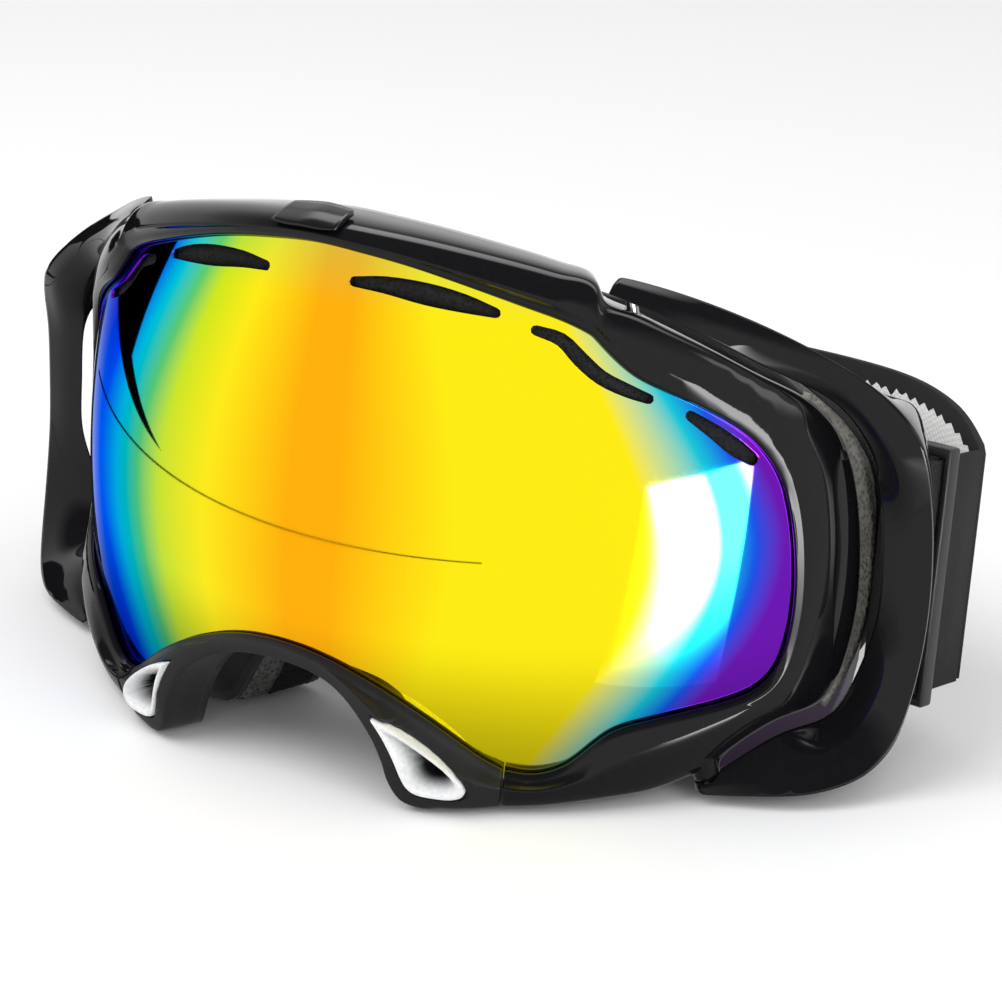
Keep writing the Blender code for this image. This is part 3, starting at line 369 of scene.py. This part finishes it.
def mirror(look):
    """Mirror coat: a run of colours round the face, painted by the lens's own arc length."""
    mat, tree, shader = node_tree("mirror_lens")
    shader.inputs["Metallic"].default_value = 1.0
    shader.inputs["Specular Tint"].default_value = (0.22, 0.42, 1.0, 1)
    where = put(tree, "ShaderNodeTexCoord")
    place = put(tree, "ShaderNodeMapping", [("Vector", where.outputs["Object"])])
    place.inputs["Rotation"].default_value = (LEAN, 0, 0)
    place.inputs["Location"].default_value = -(Matrix.Rotation(LEAN, 3, "X") @ APEX)
    xyz = put(tree, "ShaderNodeSeparateXYZ", [("Vector", place.outputs["Vector"])])
    back = put(tree, "ShaderNodeMath", [(0, look.radius), (1, xyz.outputs["Y"])], operation="SUBTRACT")
    angle = put(tree, "ShaderNodeMath",
                [(0, xyz.outputs["X"]), (1, back.outputs["Value"])], operation="ARCTAN2")
    drift = put(tree, "ShaderNodeTexNoise",
                [("Vector", place.outputs["Vector"]), ("Scale", 14.0), ("Detail", 2.0)])
    tall = put(tree, "ShaderNodeMath", [(0, xyz.outputs["Z"]), (1, BAND_HEIGHT)], operation="DIVIDE")
    tall = put(tree, "ShaderNodeMath", [(0, tall.outputs["Value"]), (1, tall.outputs["Value"]), (2, 1.0)],
               operation="MULTIPLY_ADD")
    aside = put(tree, "ShaderNodeMath", [(0, angle.outputs["Value"]), (1, BAND_MIDDLE)], operation="SUBTRACT")
    bend = put(tree, "ShaderNodeMath",
               [(0, aside.outputs["Value"]), (1, tall.outputs["Value"]), (2, BAND_MIDDLE)],
               operation="MULTIPLY_ADD")
    sway = put(tree, "ShaderNodeMath", [(0, drift.outputs["Fac"]), (1, 0.05), (2, bend.outputs["Value"])],
               operation="MULTIPLY_ADD")
    share = put(tree, "ShaderNodeMapRange", [("Value", sway.outputs["Value"]), ("From Min", -1.08),
                                             ("From Max", 1.08)])
    ramp = put(tree, "ShaderNodeValToRGB", [("Fac", share.outputs["Result"])])
    stops = [(0.14, look.violet), (0.205, look.blue), (0.26, look.teal), (0.31, look.green),
             (0.35, look.lime), (0.42, look.yellow), (0.52, look.orange), (0.57, look.orange),
             (0.68, look.yellow), (0.85, look.yellow), (0.92, look.teal), (0.955, look.blue), (0.985, look.violet)]
    bar = ramp.color_ramp
    while len(bar.elements) > 1:
        bar.elements.remove(bar.elements[-1])
    for i, (at, colour) in enumerate(stops):
        stop = bar.elements[0] if i == 0 else bar.elements.new(at)
        stop.position = at
        stop.color = (*colour, 1)
    top = put(tree, "ShaderNodeMapRange",
              [("Value", xyz.outputs["Z"]), ("From Min", 0.038), ("From Max", 0.052),
               ("To Max", 0.4)])
    mix = put(tree, "ShaderNodeMix",
              [(0, top.outputs["Result"]), (6, ramp.outputs["Color"])], data_type="RGBA")
    mix.inputs[7].default_value = (*look.green, 1)
    tree.links.new(mix.outputs[2], shader.inputs["Base Color"])
    group = put(tree, "ShaderNodeGroup", node_tree=bpy.data.node_groups["moulded_grain"])
    for key, value in (("Patch", 35.0), ("Grain", 300.0), ("Low", look.roughness * 0.7),
                       ("High", look.roughness * 1.3)):
        group.inputs[key].default_value = value
    tree.links.new(group.outputs["Roughness"], shader.inputs["Roughness"])
    return mat


def funnel(look):
    """White rim with painted shade deep in the funnel, darker with the kept stand-off from the lens."""
    mat = moulded("vent_white", look.vent, 0.22, 0.34, 120.0, 1200.0, 0.00002, 0.5)
    tree = mat.node_tree
    shader = tree.nodes["Principled BSDF"]
    white = shader.inputs["Base Color"].links[0].from_socket
    painted_shade_depth = put(tree, "ShaderNodeAttribute", attribute_name="painted_shade_depth")
    share = put(tree, "ShaderNodeMapRange", [("Value", painted_shade_depth.outputs["Fac"]), ("From Min", 0.0012),
                                             ("From Max", 0.0056)], interpolation_type="SMOOTHSTEP")
    # Painted shade: the colour goes from the white rim to dark as the funnel deepens
    mix = put(tree, "ShaderNodeMix", [(0, share.outputs["Result"]), (7, white)], data_type="RGBA")
    mix.inputs[6].default_value = (*look.painted_throat_shade, 1)
    tree.links.new(mix.outputs[2], shader.inputs["Base Color"])
    return mat


def clear_glass():
    """Clear inner lens with faint smears in its gloss."""
    mat, tree, shader = node_tree("inner_lens")
    shader.inputs["Base Color"].default_value = (0.92, 0.92, 0.9, 1)
    shader.inputs["Transmission Weight"].default_value = 1.0
    shader.inputs["IOR"].default_value = 1.2
    group = put(tree, "ShaderNodeGroup", node_tree=bpy.data.node_groups["moulded_grain"])
    for key, value in (("Patch", 50.0), ("Low", 0.02), ("High", 0.08)):
        group.inputs[key].default_value = value
    tree.links.new(group.outputs["Roughness"], shader.inputs["Roughness"])
    return mat


def welded(node):
    """Working mesh on a node's shape: welded, with paired triangles joined."""
    bm = bmesh.new()
    bm.from_mesh(frame["nodes"][node].data)
    bmesh.ops.remove_doubles(bm, verts=bm.verts, dist=WELD)
    bmesh.ops.join_triangles(bm, faces=bm.faces, angle_face_threshold=radians(35),
                             angle_shape_threshold=radians(60))
    return bm


def piece(name, node, bm, materials, rides=True):
    """Smooth-shaded object that stands for a node."""
    mesh = bpy.data.meshes.new(name)
    bm.to_mesh(mesh)
    bm.free()
    mesh.shade_smooth()
    for mat in materials:
        mesh.materials.append(mat)
    obj = bpy.data.objects.new(name, mesh)
    bpy.context.scene.collection.objects.link(obj)
    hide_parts(node)
    if rides:
        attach(obj, frame["nodes"][node]["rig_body"])
    return obj


def added(name, body, bm, materials):
    """Smooth-shaded detail that rides on a body and stands for no node of its own."""
    mesh = bpy.data.meshes.new(name)
    bm.to_mesh(mesh)
    bm.free()
    mesh.shade_smooth()
    for mat in materials:
        mesh.materials.append(mat)
    obj = bpy.data.objects.new(name, mesh)
    bpy.context.scene.collection.objects.link(obj)
    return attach(obj, body)


def soften(obj, levels, crease_over=None):
    """Subdivide; edges that bend more than an angle in degrees stay firmer."""
    if crease_over is not None:
        bm = bmesh.new()
        bm.from_mesh(obj.data)
        layer = bm.edges.layers.float.get("crease_edge") or bm.edges.layers.float.new("crease_edge")
        for edge in bm.edges:
            if len(edge.link_faces) == 2 and edge.calc_face_angle() > radians(crease_over):
                edge[layer] = 1.0 if edge.calc_face_angle() > SHARP else 0.6
        bm.to_mesh(obj.data)
        bm.free()
    mod = obj.modifiers.new("smooth", "SUBSURF")
    mod.levels = mod.render_levels = levels


def settle(obj):
    """Apply an object's modifiers to its mesh."""
    graph = bpy.context.evaluated_depsgraph_get()
    mesh = bpy.data.meshes.new_from_object(obj.evaluated_get(graph), depsgraph=graph)
    obj.modifiers.clear()
    obj.data = mesh


def roughen(obj, depth, scale):
    """Uneven foam surface: move each point a little along its normal."""
    for v in obj.data.vertices:
        v.co += v.normal * depth * noise.fractal(v.co * scale, 1.0, 2.0, 3)
    obj.data.update()


class DressOperator:
    """What the goggle's operators share."""
    bl_options = {"REGISTER"}

    def finish(self, made):
        if not made:
            raise RuntimeError(self.bl_label + " made nothing")
        return {"FINISHED"}


class GOGGLE_OT_effects(DressOperator, bpy.types.Operator):
    """Build the shader groups that several finishes share"""
    bl_idname = "goggle.effects"
    bl_label = "Shared effects"

    def execute(self, context):
        return self.finish([grain_group(), foam_group(), web_group()])


class GOGGLE_OT_shell(DressOperator, bpy.types.Operator):
    """Dress the gloss frame, its plate and the outriggers"""
    bl_idname = "goggle.shell"
    bl_label = "Frame and outriggers"

    def execute(self, context):
        look = context.scene.goggle_shell
        gloss = moulded("gloss_black", look.gloss, 0.035, 0.07, 30.0, 500.0, 0.000004, 0.22)
        plate = moulded("plate_gloss", look.gloss, 0.10, 0.16, 60.0, 900.0, 0.000006, 0.3)
        made = []
        for node in ("front_frame", "outrigger_left", "outrigger_right"):
            made.append(piece(node + "_shell", node, welded(node), [gloss]))
            soften(made[-1], look.smoothing, 70)
        made.append(piece("brow_plate_shell", "brow_plate", welded("brow_plate"), [plate]))
        soften(made[-1], look.smoothing, 60)
        return self.finish(made)


class GOGGLE_OT_nose(DressOperator, bpy.types.Operator):
    """Dress the soft nose piece and its white vents"""
    bl_idname = "goggle.nose"
    bl_label = "Nose piece"

    def execute(self, context):
        look = context.scene.goggle_shell
        rubber = moulded("satin_black", look.rubber, 0.34, 0.48, 90.0, 1500.0, 0.00004)
        white = funnel(look)
        made = [piece("nose_bridge_shell", "nose_bridge", welded("nose_bridge"), [rubber])]
        soften(made[0], look.smoothing, 60)
        for side in SIDES:
            bm = welded("nose_vent_" + side)
            # Keep each point's stand-off, by which the funnel's painted shade deepens
            painted_shade_depth = bm.verts.layers.float.new("painted_shade_depth")
            for v in bm.verts:
                v[painted_shade_depth] = lens_point(v.co, context.scene.goggle_lens)[0]
            made.append(piece("nose_funnel_" + side, "nose_vent_" + side, bm, [white]))
            soften(made[-1], look.smoothing, 35)
        return self.finish(made)


def lens_point(point, look):
    """Point moved onto the lens form at its own stand-off, and the outward normal there."""
    p = to_goggle(point)
    fall = look.tall_radius - sqrt(look.tall_radius ** 2 - p.z ** 2)
    angle = atan2(p.x, look.radius - p.y)
    reach = sqrt(p.x ** 2 + (look.radius - p.y) ** 2)
    stand_off = reach - look.radius + fall
    lean = p.z / look.tall_radius
    out = Vector((sin(angle), -cos(angle), lean))
    return stand_off, (to_row(out) - APEX).normalized(), angle, p.z, fall


def lens_mesh(node, look, cuts):
    """Finer lens: cut the facets and set every new point on the true curve."""
    bm = bmesh.new()
    bm.from_mesh(frame["nodes"][node].data)
    bmesh.ops.remove_doubles(bm, verts=bm.verts, dist=WELD)
    levels = sorted(lens_point(v.co, look)[0] for v in bm.verts)
    faces = (levels[0], levels[-1])
    bmesh.ops.subdivide_edges(bm, edges=bm.edges, cuts=cuts, use_grid_fill=True)
    for v in bm.verts:
        stand_off, _, angle, z, fall = lens_point(v.co, look)
        depth = min(faces, key=lambda level: abs(level - stand_off))
        r = look.radius - fall + depth
        v.co = to_row((r * sin(angle), look.radius - r * cos(angle), z))
    return bm, faces


class GOGGLE_OT_lens(DressOperator, bpy.types.Operator):
    """Dress both lenses, the gasket and the slot foam"""
    bl_idname = "goggle.lens"
    bl_label = "Lenses"

    def execute(self, context):
        look, soft = context.scene.goggle_lens, context.scene.goggle_soft
        smoke = moulded("lens_smoke", look.smoke, 0.05, 0.09, 40.0, 400.0, 0.00001)
        made = []
        for name, node, mats in (("mirror_shield", "outer_lens", [mirror(look), smoke]),
                                 ("clear_shield", "inner_lens", [clear_glass()])):
            bm, levels = lens_mesh(node, look, 2)
            bm.normal_update()
            for f in bm.faces:
                stand_off, out, *_ = lens_point(f.calc_center_median(), look)
                f.material_index = 0 if len(mats) == 1 or f.normal.dot(out) > -0.2 else 1
            obj = piece(name, node, bm, mats)
            normals = []
            for v in obj.data.vertices:
                stand_off, out, *_ = lens_point(v.co, look)
                front = abs(stand_off - levels[1]) < abs(stand_off - levels[0])
                normals.append(out if front else -out)
            obj.data.normals_split_custom_set_from_vertices(normals)
            made.append(obj)
        sponge = foam("slot_foam", soft.black, 1500.0, 0.0003)
        for node in ("slot_foam_left", "slot_foam_right"):
            made.append(piece(node + "_strip", node, welded(node), [sponge]))
        packing = foam("gasket_foam", soft.grey, 1500.0, 0.0002)
        made.append(piece("gasket_strip", "lens_gasket", welded("lens_gasket"), [packing]))
        return self.finish(made)


def pocket_coat(look):
    """Dark gloss, partly metallic; its dark purple is partly the coat's own tint and partly painted shade and
    coloured reflection.
    """
    mat = moulded("pocket_gloss_painted_shade", look.pocket_shade_and_sheen, 0.06, 0.14, 120.0, 700.0, 0.000006, 0.5)
    mat.node_tree.nodes["Principled BSDF"].inputs["Metallic"].default_value = 0.55
    return mat


def on_lens(s, z, stand_off, look):
    """Row point at an arc length and height, standing off the lens."""
    fall = look.tall_radius - sqrt(look.tall_radius ** 2 - z * z)
    r = look.radius - fall + stand_off
    a = s / look.radius
    return to_row((r * sin(a), look.radius - r * cos(a), z))


def edge_strip(side, band, look):
    """Rings of a strip along the frame's outer edge: how far it reaches out, its front and its back."""
    edge = [(s * 0.001, z * 0.001, d * 0.001) for s, z, d in FRAME_EDGE]
    first, rows = band
    rings = []
    for i, (near, far, front, back) in enumerate(rows, first):
        (s0, z0, _), (s1, z1, _) = edge[max(i - 1, 0)], edge[min(i + 1, len(edge) - 1)]
        length = sqrt((s1 - s0) ** 2 + (z1 - z0) ** 2)
        ns, nz = (z1 - z0) / length, -(s1 - s0) / length
        s, z, d = edge[i]
        ring = []
        for reach, depth in ((near, front), (far, front), (far, back), (near, back)):
            reach, depth = reach * 0.001, d + depth * 0.001
            ring.append(on_lens(s + ns * reach, z + nz * reach, depth, look))
        rings.append(ring if side == "right" else [Vector((-p.x, p.y, p.z)) for p in ring][::-1])
    return rings


def loft(rings):
    """Closed skin through four-cornered rings."""
    bm = bmesh.new()
    loops = [[bm.verts.new(p) for p in ring] for ring in rings]
    for a, b in zip(loops, loops[1:]):
        for i in range(len(a)):
            j = (i + 1) % len(a)
            bm.faces.new((a[i], a[j], b[j], b[i]))
    bm.faces.new(loops[0][::-1])
    bm.faces.new(loops[-1])
    bmesh.ops.recalc_face_normals(bm, faces=bm.faces)
    return bm


class GOGGLE_OT_padding(DressOperator, bpy.types.Operator):
    """Dress the chassis, the padding layers and the vent foam"""
    bl_idname = "goggle.padding"
    bl_label = "Chassis and padding"

    def execute(self, context):
        look, shell = context.scene.goggle_soft, context.scene.goggle_shell
        rubber = moulded("chassis_rubber", shell.chassis, 0.42, 0.6, 80.0, 1300.0, 0.00005)
        grey = foam("grey_foam", look.grey, 1100.0, 0.0006)
        black = foam("black_foam", look.black, 1700.0, 0.0004)
        fleece = foam("fleece", look.fleece, 2600.0, 0.0006, 0.45)
        made = [piece("chassis_shell", "chassis", welded("chassis"), [rubber])]
        soften(made[0], 1, 60)
        layers = [("face_foam_grey", grey, 2, 0.00018), ("face_foam_black", black, 2, 0.00014),
                  ("face_fleece", fleece, 2, 0.00016)]
        layers += [("top_vent_foam_" + s, black, 2, 0.00012) for s in SIDES]
        for node, mat, levels, depth in layers:
            obj = piece(node + "_layer", node, welded(node), [mat])
            soften(obj, levels, 40)
            settle(obj)
            roughen(obj, depth, 900.0)
            made.append(obj)
        speckle = foam("vent_foam", look.vent, 1300.0, 0.0004, 0.35)
        # Pocket finish with painted shade and coloured reflection
        pocket_shade_and_sheen = pocket_coat(shell)
        for side in SIDES:
            rings = edge_strip(side, VENT_BAND, context.scene.goggle_lens)
            obj = piece("vent_crescent_" + side, "side_vent_foam_" + side, loft(rings), [speckle])
            soften(obj, 2, 60)
            settle(obj)
            roughen(obj, 0.00012, 900.0)
            made.append(obj)
            rings = edge_strip(side, POCKET_BAND, context.scene.goggle_lens)
            obj = added("corner_pocket_" + side, "goggle", loft(rings), [pocket_shade_and_sheen])
            soften(obj, 2, 60)
            made.append(obj)
        return self.finish(made)


def strap_mesh(node, axis):
    """Strap with its place across the width and along the run kept on its points."""
    bm = welded(node)
    across = bm.verts.layers.float.new("across")
    along = bm.verts.layers.float.new("along")
    for v in bm.verts:
        p = to_goggle(v.co)
        v[across] = 1.0 if p.z > STRAP_MIDDLE else 0.0
        v[along] = p[axis]
    return bm


def line_end_sides(bm, side):
    """Turn the faces inside a strap end's doubled run to the lining."""
    flip = 1 if side == "right" else -1
    run = (RUN_END - BAR).normalized()
    out = Vector((run.y, -run.x))
    for f in bm.faces:
        p, tip = to_goggle(f.calc_center_median()), to_goggle(f.calc_center_median() + f.normal)
        n = tip - p
        off = (Vector((flip * p.x, p.y)) - BAR).dot(out)
        f.material_index = 1 if abs(n.z) < 0.5 and Vector((flip * n.x, n.y)).dot(out) * off < 0 else 0


def line_rear(bm):
    """Turn the rear run's inner face to the lining."""
    for f in bm.faces:
        p, n = f.calc_center_median(), f.normal
        inward = Vector((-p.x, -0.02 - p.y))
        f.material_index = 1 if abs(n.z) < 0.5 and Vector((n.x, n.y)).dot(inward) > 0 else 0


class GOGGLE_OT_strap(DressOperator, bpy.types.Operator):
    """Dress the strap, its sliders, its bars and the hinge pins"""
    bl_idname = "goggle.strap"
    bl_label = "Strap"

    def execute(self, context):
        look, shell = context.scene.goggle_soft, context.scene.goggle_shell
        cloth = [web("strap_web", look.web, look.web, look, 0.0),
                 web("strap_lining", look.lining, look.web, look, 0.14)]
        buckle = moulded("slider_plastic", look.buckle, 0.3, 0.42, 150.0, 1600.0, 0.00004)
        steel = moulded("hinge_steel", shell.steel, 0.22, 0.36, 200.0, 2500.0, 0.00001)
        steel.node_tree.nodes["Principled BSDF"].inputs["Metallic"].default_value = 1.0
        made = []
        for side in SIDES:
            bm = strap_mesh("strap_end_" + side, 1)
            bm.normal_update()
            line_end_sides(bm, side)
            made.append(piece("strap_loop_" + side, "strap_end_" + side, bm, cloth))
            soften(made[-1], 2, 40)
            bm = strap_mesh("strap_rear", 0)
            flip = 1 if side == "right" else -1
            bmesh.ops.bisect_plane(bm, geom=bm.verts[:] + bm.edges[:] + bm.faces[:], dist=WELD,
                                   plane_co=(0, 0, 0), plane_no=(-flip, 0, 0), clear_outer=True)
            bm.normal_update()
            line_rear(bm)
            half = piece("strap_half_" + side, "strap_rear", bm, cloth, rides=False)
            soften(half, 2, 40)
            settle(half)
            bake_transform(half)
            made.append(half)
            slider = piece("slider_ring_" + side, "slider_" + side, welded("slider_" + side), [buckle])
            edge = slider.modifiers.new("round", "BEVEL")
            edge.width, edge.segments, edge.limit_method = 0.0006, 3, "ANGLE"
            made.append(slider)
            for node in ("strap_bar_", "hinge_pin_upper_", "hinge_pin_lower_"):
                obj = frame["nodes"][node + side]
                obj.data.materials.clear()
                obj.data.materials.append(steel)
        return self.finish(made)


def only_seen_in_gloss(obj):
    """Keep a studio card out of the camera and the light, so that only reflections show it."""
    obj.visible_camera = obj.visible_diffuse = obj.visible_shadow = obj.visible_transmission = False


def card(name, corners, strength, fade=0.25):
    """Studio card between four corners that fades towards its edges, seen only in reflections."""
    mesh = bpy.data.meshes.new(name)
    mesh.from_pydata(corners, [], [(0, 1, 2, 3)])
    uv = mesh.uv_layers.new(name="place")
    for loop, place in zip(uv.data, ((0, 0), (1, 0), (1, 1), (0, 1))):
        loop.uv = place
    obj = bpy.data.objects.new(name, mesh)
    bpy.context.scene.collection.objects.link(obj)
    mat, tree, shader = node_tree(name)
    where = put(tree, "ShaderNodeTexCoord")
    place = put(tree, "ShaderNodeSeparateXYZ", [("Vector", where.outputs["UV"])])
    inside = [put(tree, "ShaderNodeMath", [(0, place.outputs[axis]), (1, 0.5)], operation="PINGPONG")
              for axis in ("X", "Y")]
    least = put(tree, "ShaderNodeMath", [(i, node.outputs["Value"]) for i, node in enumerate(inside)],
                operation="MINIMUM")
    level = put(tree, "ShaderNodeMapRange", [("Value", least.outputs["Value"]), ("From Max", fade),
                                             ("To Min", min(strength, 1.0)), ("To Max", strength)],
                interpolation_type="SMOOTHSTEP")
    glow = put(tree, "ShaderNodeEmission", [("Strength", level.outputs["Result"])])
    tree.links.new(glow.outputs["Emission"], tree.nodes["Material Output"].inputs["Surface"])
    mesh.materials.append(mat)
    only_seen_in_gloss(obj)
    return obj


def table_edge_shade(radius, width):
    """Thin black arc on the floor, seen only in reflections, standing in for the shaded gap at the floor's front
    edge; the lens shows it as a fine line.
    """
    bm = bmesh.new()
    sides = 96
    loops = []
    for r in (radius, radius + width):
        turns = [radians(ARC_SPAN[0] + (ARC_SPAN[1] - ARC_SPAN[0]) * k / sides) for k in range(sides + 1)]
        loops.append([bm.verts.new((r * sin(a), APEX.y - r * cos(a), 0.0006)) for a in turns])
    for k in range(sides):
        bm.faces.new((loops[0][k], loops[1][k], loops[1][k + 1], loops[0][k + 1]))
    mesh = bpy.data.meshes.new("table_edge_shade")
    bm.to_mesh(mesh)
    bm.free()
    obj = bpy.data.objects.new("table_edge_shade", mesh)
    bpy.context.scene.collection.objects.link(obj)
    mat, tree, shader = node_tree("table_edge_shade")
    # Black colour that stands in for shade, not for any real strip
    shader.inputs["Base Color"].default_value = (0.004, 0.004, 0.004, 1)
    shader.inputs["Specular IOR Level"].default_value = 0.0
    mesh.materials.append(mat)
    only_seen_in_gloss(obj)


def lamp(name, place, aim, size, power):
    """Soft area lamp."""
    data = bpy.data.lights.new(name, "AREA")
    data.shape, data.size, data.energy = "DISK", size, power
    obj = bpy.data.objects.new(name, data)
    obj.location = place
    obj.rotation_mode = "QUATERNION"
    obj.rotation_quaternion = (Vector(aim) - Vector(place)).to_track_quat("-Z", "Y")
    bpy.context.scene.collection.objects.link(obj)
    obj.visible_glossy = False
    return obj


def white_world(strength):
    """White to the camera and in level reflections, dim overhead, plain light elsewhere."""
    world = bpy.data.worlds.new("studio")
    world.use_nodes = True
    tree = world.node_tree
    path = put(tree, "ShaderNodeLightPath")
    where = put(tree, "ShaderNodeTexCoord")
    height = put(tree, "ShaderNodeSeparateXYZ", [("Vector", where.outputs["Generated"])])
    ceiling = put(tree, "ShaderNodeMapRange",
                  [("Value", height.outputs["Z"]), ("From Min", 0.45), ("From Max", 0.75),
                   ("To Min", 1.0), ("To Max", 0.12)])
    seen = put(tree, "ShaderNodeMath",
               [(0, path.outputs["Is Camera Ray"]), (1, path.outputs["Is Transmission Ray"])],
               operation="MAXIMUM")
    light = put(tree, "ShaderNodeMapRange",
                [("Value", seen.outputs["Value"]), ("To Min", strength), ("To Max", 1.0)])
    level = put(tree, "ShaderNodeMix", [(0, path.outputs["Is Glossy Ray"]), (2, light.outputs["Result"]),
                                        (3, ceiling.outputs["Result"])])
    tree.links.new(level.outputs[0], tree.nodes["Background"].inputs["Strength"])
    tree.nodes["Background"].inputs["Color"].default_value = (1, 1, 1, 1)
    bpy.context.scene.world = world


def floor(colour):
    """Pale floor, white to the camera away from the object's shadow; in reflections it glows white, with a painted
    shadow dimming it near the object.
    """
    mesh = bpy.data.meshes.new("floor")
    far = 6.0
    mesh.from_pydata([(-far, -far, 0), (far, -far, 0), (far, far, 0), (-far, far, 0)], [], [(0, 1, 2, 3)])
    obj = bpy.data.objects.new("floor", mesh)
    bpy.context.scene.collection.objects.link(obj)
    mat, tree, shader = node_tree("pale_floor")
    shader.inputs["Base Color"].default_value = (*colour, 1)
    shader.inputs["Roughness"].default_value = 0.7
    shader.inputs["Specular IOR Level"].default_value = 0.1
    path = put(tree, "ShaderNodeLightPath")
    seen = put(tree, "ShaderNodeMath",
               [(0, path.outputs["Is Glossy Ray"]), (1, path.outputs["Is Transmission Ray"])],
               operation="MAXIMUM")
    # Painted shadow seen only in reflections: the glow dims to a quarter close to the object
    where = put(tree, "ShaderNodeTexCoord")
    reach = put(tree, "ShaderNodeVectorMath", [(0, where.outputs["Object"]), (1, (0.0, 0.01, 0.0))],
                operation="DISTANCE")
    shade = put(tree, "ShaderNodeMapRange",
                [("Value", reach.outputs["Value"]), ("From Min", 0.04), ("From Max", 0.15),
                 ("To Min", 0.25), ("To Max", 1.0)], interpolation_type="SMOOTHSTEP")
    glow = put(tree, "ShaderNodeEmission", [("Strength", shade.outputs["Result"])])
    mix = put(tree, "ShaderNodeMixShader", [("Fac", seen.outputs["Value"]), (1, shader.outputs["BSDF"]),
                                            (2, glow.outputs["Emission"])])
    tree.links.new(mix.outputs["Shader"], tree.nodes["Material Output"].inputs["Surface"])
    mesh.materials.append(mat)


class GOGGLE_OT_stage(DressOperator, bpy.types.Operator):
    """Build the floor, the light and the camera"""
    bl_idname = "goggle.stage"
    bl_label = "Studio"

    def execute(self, context):
        look, scene = context.scene.goggle_stage, context.scene
        scene.view_settings.view_transform = "Standard"
        white_world(look.ambient)
        floor(look.floor)
        middle = (CAD_BOX[0] + CAD_BOX[1]) / 2
        lamp("key", (-0.35, -0.5, 0.95), middle, 0.9, look.key)
        lamp("fill", (0.9, -0.35, 0.5), middle, 0.6, look.fill)
        card("low_softbox", [(0.088, -0.066, 0.001), (0.108, -0.026, 0.001), (1.6, -0.24, 0.001),
                             (1.6, -1.14, 0.001)], 22.0, 0.12)
        card("top_strip", [(-0.6, 0.25, 0.75), (0.6, 0.25, 0.75), (0.6, 0.5, 0.65), (-0.6, 0.5, 0.65)], 5.0)
        card("side_strip", [(0.7, 0.05, 0.1), (0.7, 0.2, 0.1), (0.7, 0.2, 0.6), (0.7, 0.05, 0.6)], 5.0)
        card("dark_flag", [(-0.5, 0.0, 0.003), (-0.5, 0.3, 0.003), (-0.5, 0.3, 0.16),
                           (-0.5, -0.09, 0.13)], 0.0)
        card("dark_foot", [(-0.30, -0.115, 0.003), (-0.5, 0.0, 0.003), (-0.5, 0.2, 0.003),
                           (-0.39, 0.02, 0.003)], 0.0)
        table_edge_shade(0.27, 0.006)
        data = bpy.data.cameras.new("photo_camera")
        data.lens, data.sensor_width = look.lens, 36.0
        cam = bpy.data.objects.new("photo_camera", data)
        cam.location = APEX + Vector(look.from_apex)
        a, e = look.azimuth, look.elevation
        back = Vector((sin(a) * cos(e), -cos(a) * cos(e), sin(e)))
        cam.rotation_mode = "QUATERNION"
        cam.rotation_quaternion = (-back).to_track_quat("-Z", "Y")
        data.clip_start, data.clip_end = 0.01, 100.0
        scene.collection.objects.link(cam)
        scene.camera = cam
        return self.finish([cam])


class GOGGLE_PT_panel(bpy.types.Panel):
    """Sidebar list of the goggle's operators"""
    bl_idname = "GOGGLE_PT_panel"
    bl_label = "Goggles"
    bl_space_type = "VIEW_3D"
    bl_region_type = "UI"
    bl_category = "Goggles"

    def draw(self, context):
        for operator in OPERATORS:
            self.layout.operator(operator.bl_idname)


LOOKS = (("goggle_lens", LensLook), ("goggle_shell", ShellLook), ("goggle_soft", SoftLook),
         ("goggle_stage", StageLook))
OPERATORS = (GOGGLE_OT_effects, GOGGLE_OT_stage, GOGGLE_OT_shell, GOGGLE_OT_nose, GOGGLE_OT_lens,
             GOGGLE_OT_padding, GOGGLE_OT_strap)


def register():
    for name, look in LOOKS:
        bpy.utils.register_class(look)
        setattr(bpy.types.Scene, name, PointerProperty(type=look))
    for cls in (*OPERATORS, GOGGLE_PT_panel):
        bpy.utils.register_class(cls)


def unregister():
    for cls in (GOGGLE_PT_panel, *reversed(OPERATORS)):
        bpy.utils.unregister_class(cls)
    for name, look in reversed(LOOKS):
        delattr(bpy.types.Scene, name)
        bpy.utils.unregister_class(look)


def main():
    register()
    for step in ("effects", "stage", "shell", "nose", "lens", "padding", "strap"):
        getattr(bpy.ops.goggle, step)()


if __name__ == "__main__":
    main()
